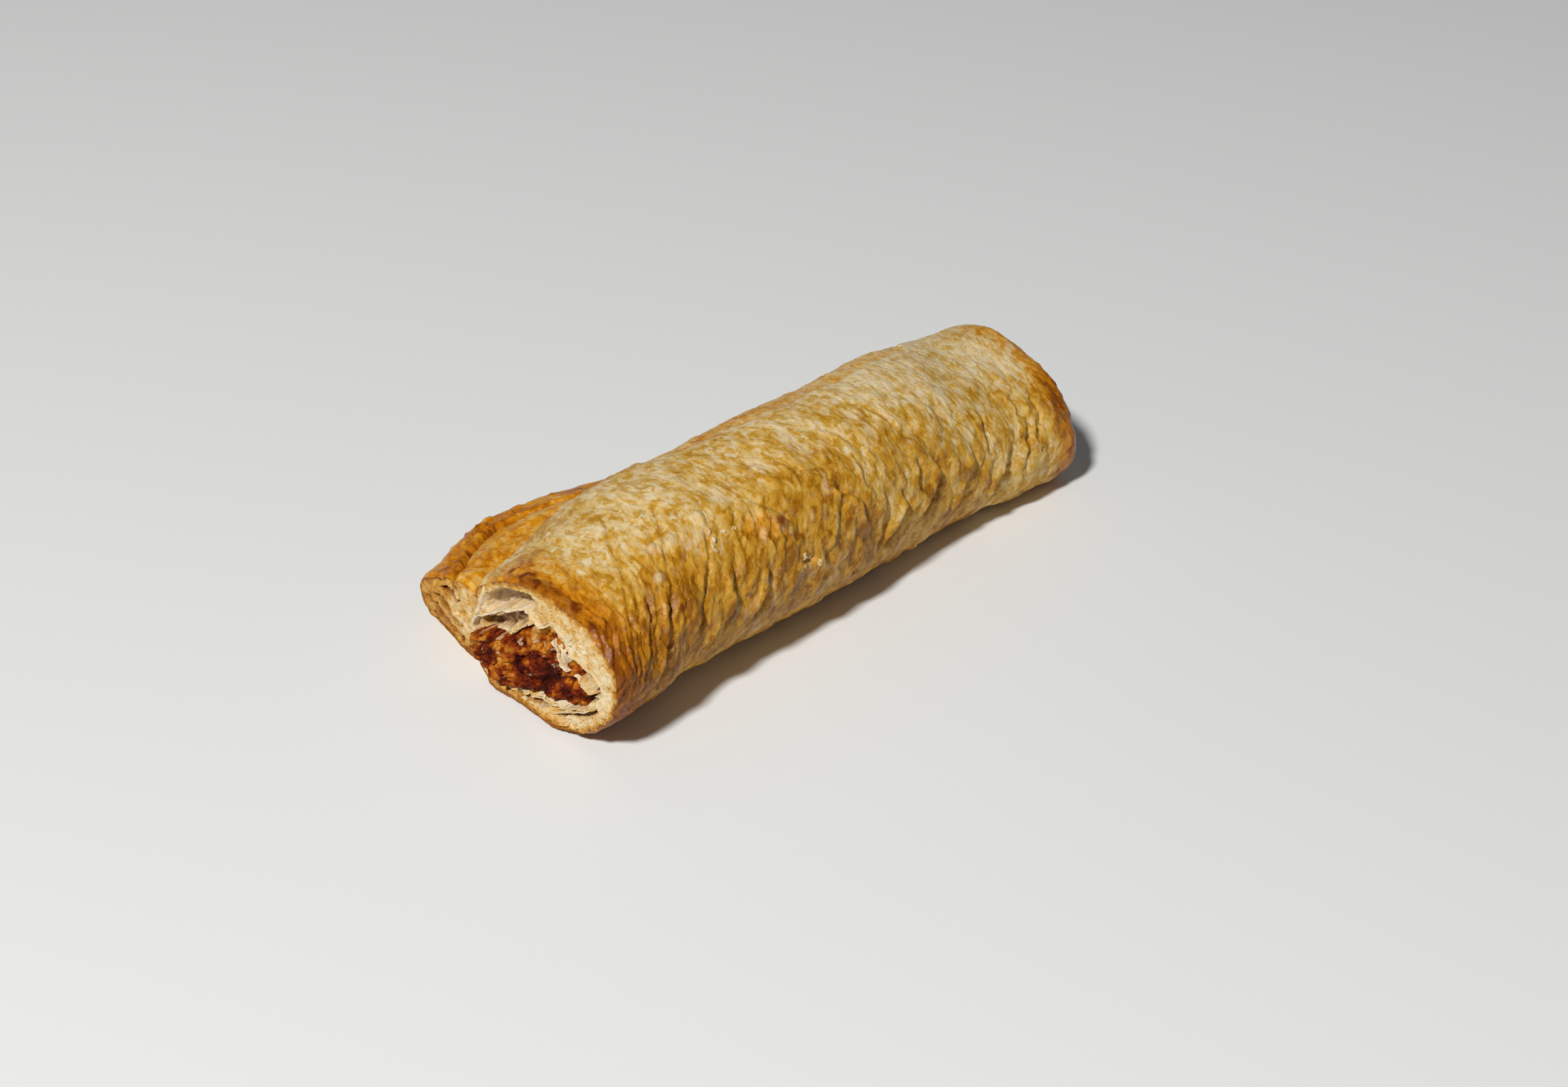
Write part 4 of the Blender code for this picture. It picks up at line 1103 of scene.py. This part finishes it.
def dress(piece, material, node):
    """Gives a piece its material, attaches it to the root and hides the CAD part of that node."""
    piece.data.materials.append(material)
    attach(piece, "root")
    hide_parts(node)


def skin_place(tube, along, round_edge):
    """The tube's point nearest to a place in mm, and the way out there."""
    points, _, place = tube
    off = np.hypot(place[..., 2] / MM - along, place[..., 1] / MM - round_edge)
    i, j = np.unravel_index(np.argmin(off), off.shape)
    i = min(max(i, 2), off.shape[0] - 3)
    j = min(max(j, 2), off.shape[1] - 3)
    out = np.cross(points[i, j + 2] - points[i, j - 2], points[i + 2, j] - points[i - 2, j])
    return points[i, j], out / np.linalg.norm(out)


def build_roll():
    flap, tube, first, last = skin_parts()
    skin = skin_material()
    crumb = crumb_material()
    meat = meat_material()
    dress(grid_piece("flap_skin", *flap, False, False), skin, "pastry")
    dress(grid_piece("tube_skin", *tube, False, False), skin, "pastry")
    for far in (False, True):
        word = "far" if far else "near"
        points, tone, place, angle = face_points(last if far else first, far)
        piece = grid_piece("cut_face_" + word, points, tone, place, True, not far)
        dress(piece, crumb, "pastry")
        points, tone, place = core_points(angle, far)
        piece = grid_piece("filling_" + word, points, tone, place, True, far, True)
        dress(piece, meat, "filling")
        leaves = []
        for seed, leaf in enumerate(FAR_LEAVES if far else NEAR_LEAVES):
            leaves.append(leaf_points(*leaf, seed, far))
        if not far:
            leaves.append(leaf_points(*STRAND, STRAND_SEED, False))
        dress(make_piece("leaves_" + word, *joined(leaves)), crumb, "pastry")
    crumbs = []
    for seed, (along, round_edge, size) in enumerate(SKIN_CRUMBS):
        centre, out = skin_place(tube, along, round_edge)
        for extra in range(CRUMBS_PER_PLACE):
            rng = np.random.default_rng(100 * seed + extra)
            shift = rng.normal(size=3) * size * 0.5 * MM
            shift -= out * (shift @ out)
            middle = centre + shift + out * 0.1 * MM
            radius = size * rng.uniform(0.4, 0.9) * MM
            crumbs.append(crumb_points(middle, out, radius, 700 + 3 * seed + extra))
    dress(make_piece("baked_on_crumbs", *joined(crumbs)), crumb, "pastry")


def build_floor():
    bpy.ops.mesh.primitive_plane_add(size=FLOOR_SIZE, location=(0, 0, -FLOOR_DROP))
    floor = bpy.context.object
    floor.name = "floor"
    n = Nodes("pale_floor")
    n.shader.inputs["Base Color"].default_value = (*FLOOR_COLOUR, 1)
    n.shader.inputs["Roughness"].default_value = 0.6
    floor.data.materials.append(n.material)


def add_light(name, place, size, power, colour):
    """A round soft light that faces the roll."""
    light = bpy.data.lights.new(name, "AREA")
    light.shape = "DISK"
    light.size = size
    light.energy = power
    light.color = colour
    lamp = bpy.data.objects.new(name, light)
    lamp.location = place
    lamp.rotation_euler = Vector(place).to_track_quat("Z", "Y").to_euler()
    bpy.context.scene.collection.objects.link(lamp)


def build_camera():
    camera = bpy.data.cameras.new("camera")
    camera.lens = CAMERA_LENS
    camera.sensor_width = CAMERA_SENSOR
    camera.clip_start = CAMERA_CLIP
    holder = bpy.data.objects.new("camera", camera)
    a = math.radians(CAMERA_AZIMUTH)
    e = math.radians(CAMERA_ELEVATION)
    back = Vector((math.sin(a) * math.cos(e), -math.cos(a) * math.cos(e), math.sin(e)))
    holder.location = CAMERA_PLACE
    holder.rotation_euler = back.to_track_quat("Z", "Y").to_euler()
    bpy.context.scene.collection.objects.link(holder)
    bpy.context.scene.camera = holder


def build_studio():
    add_light("key", *KEY_LIGHT)
    add_light("fill", *FILL_LIGHT)
    world = bpy.data.worlds.new("studio")
    world.use_nodes = True
    background = world.node_tree.nodes["Background"]
    background.inputs["Color"].default_value = (*SKY_COLOUR, 1)
    background.inputs["Strength"].default_value = SKY_STRENGTH
    bpy.context.scene.world = world
    bpy.context.scene.view_settings.view_transform = "Standard"


build_roll()
build_floor()
build_camera()
build_studio()
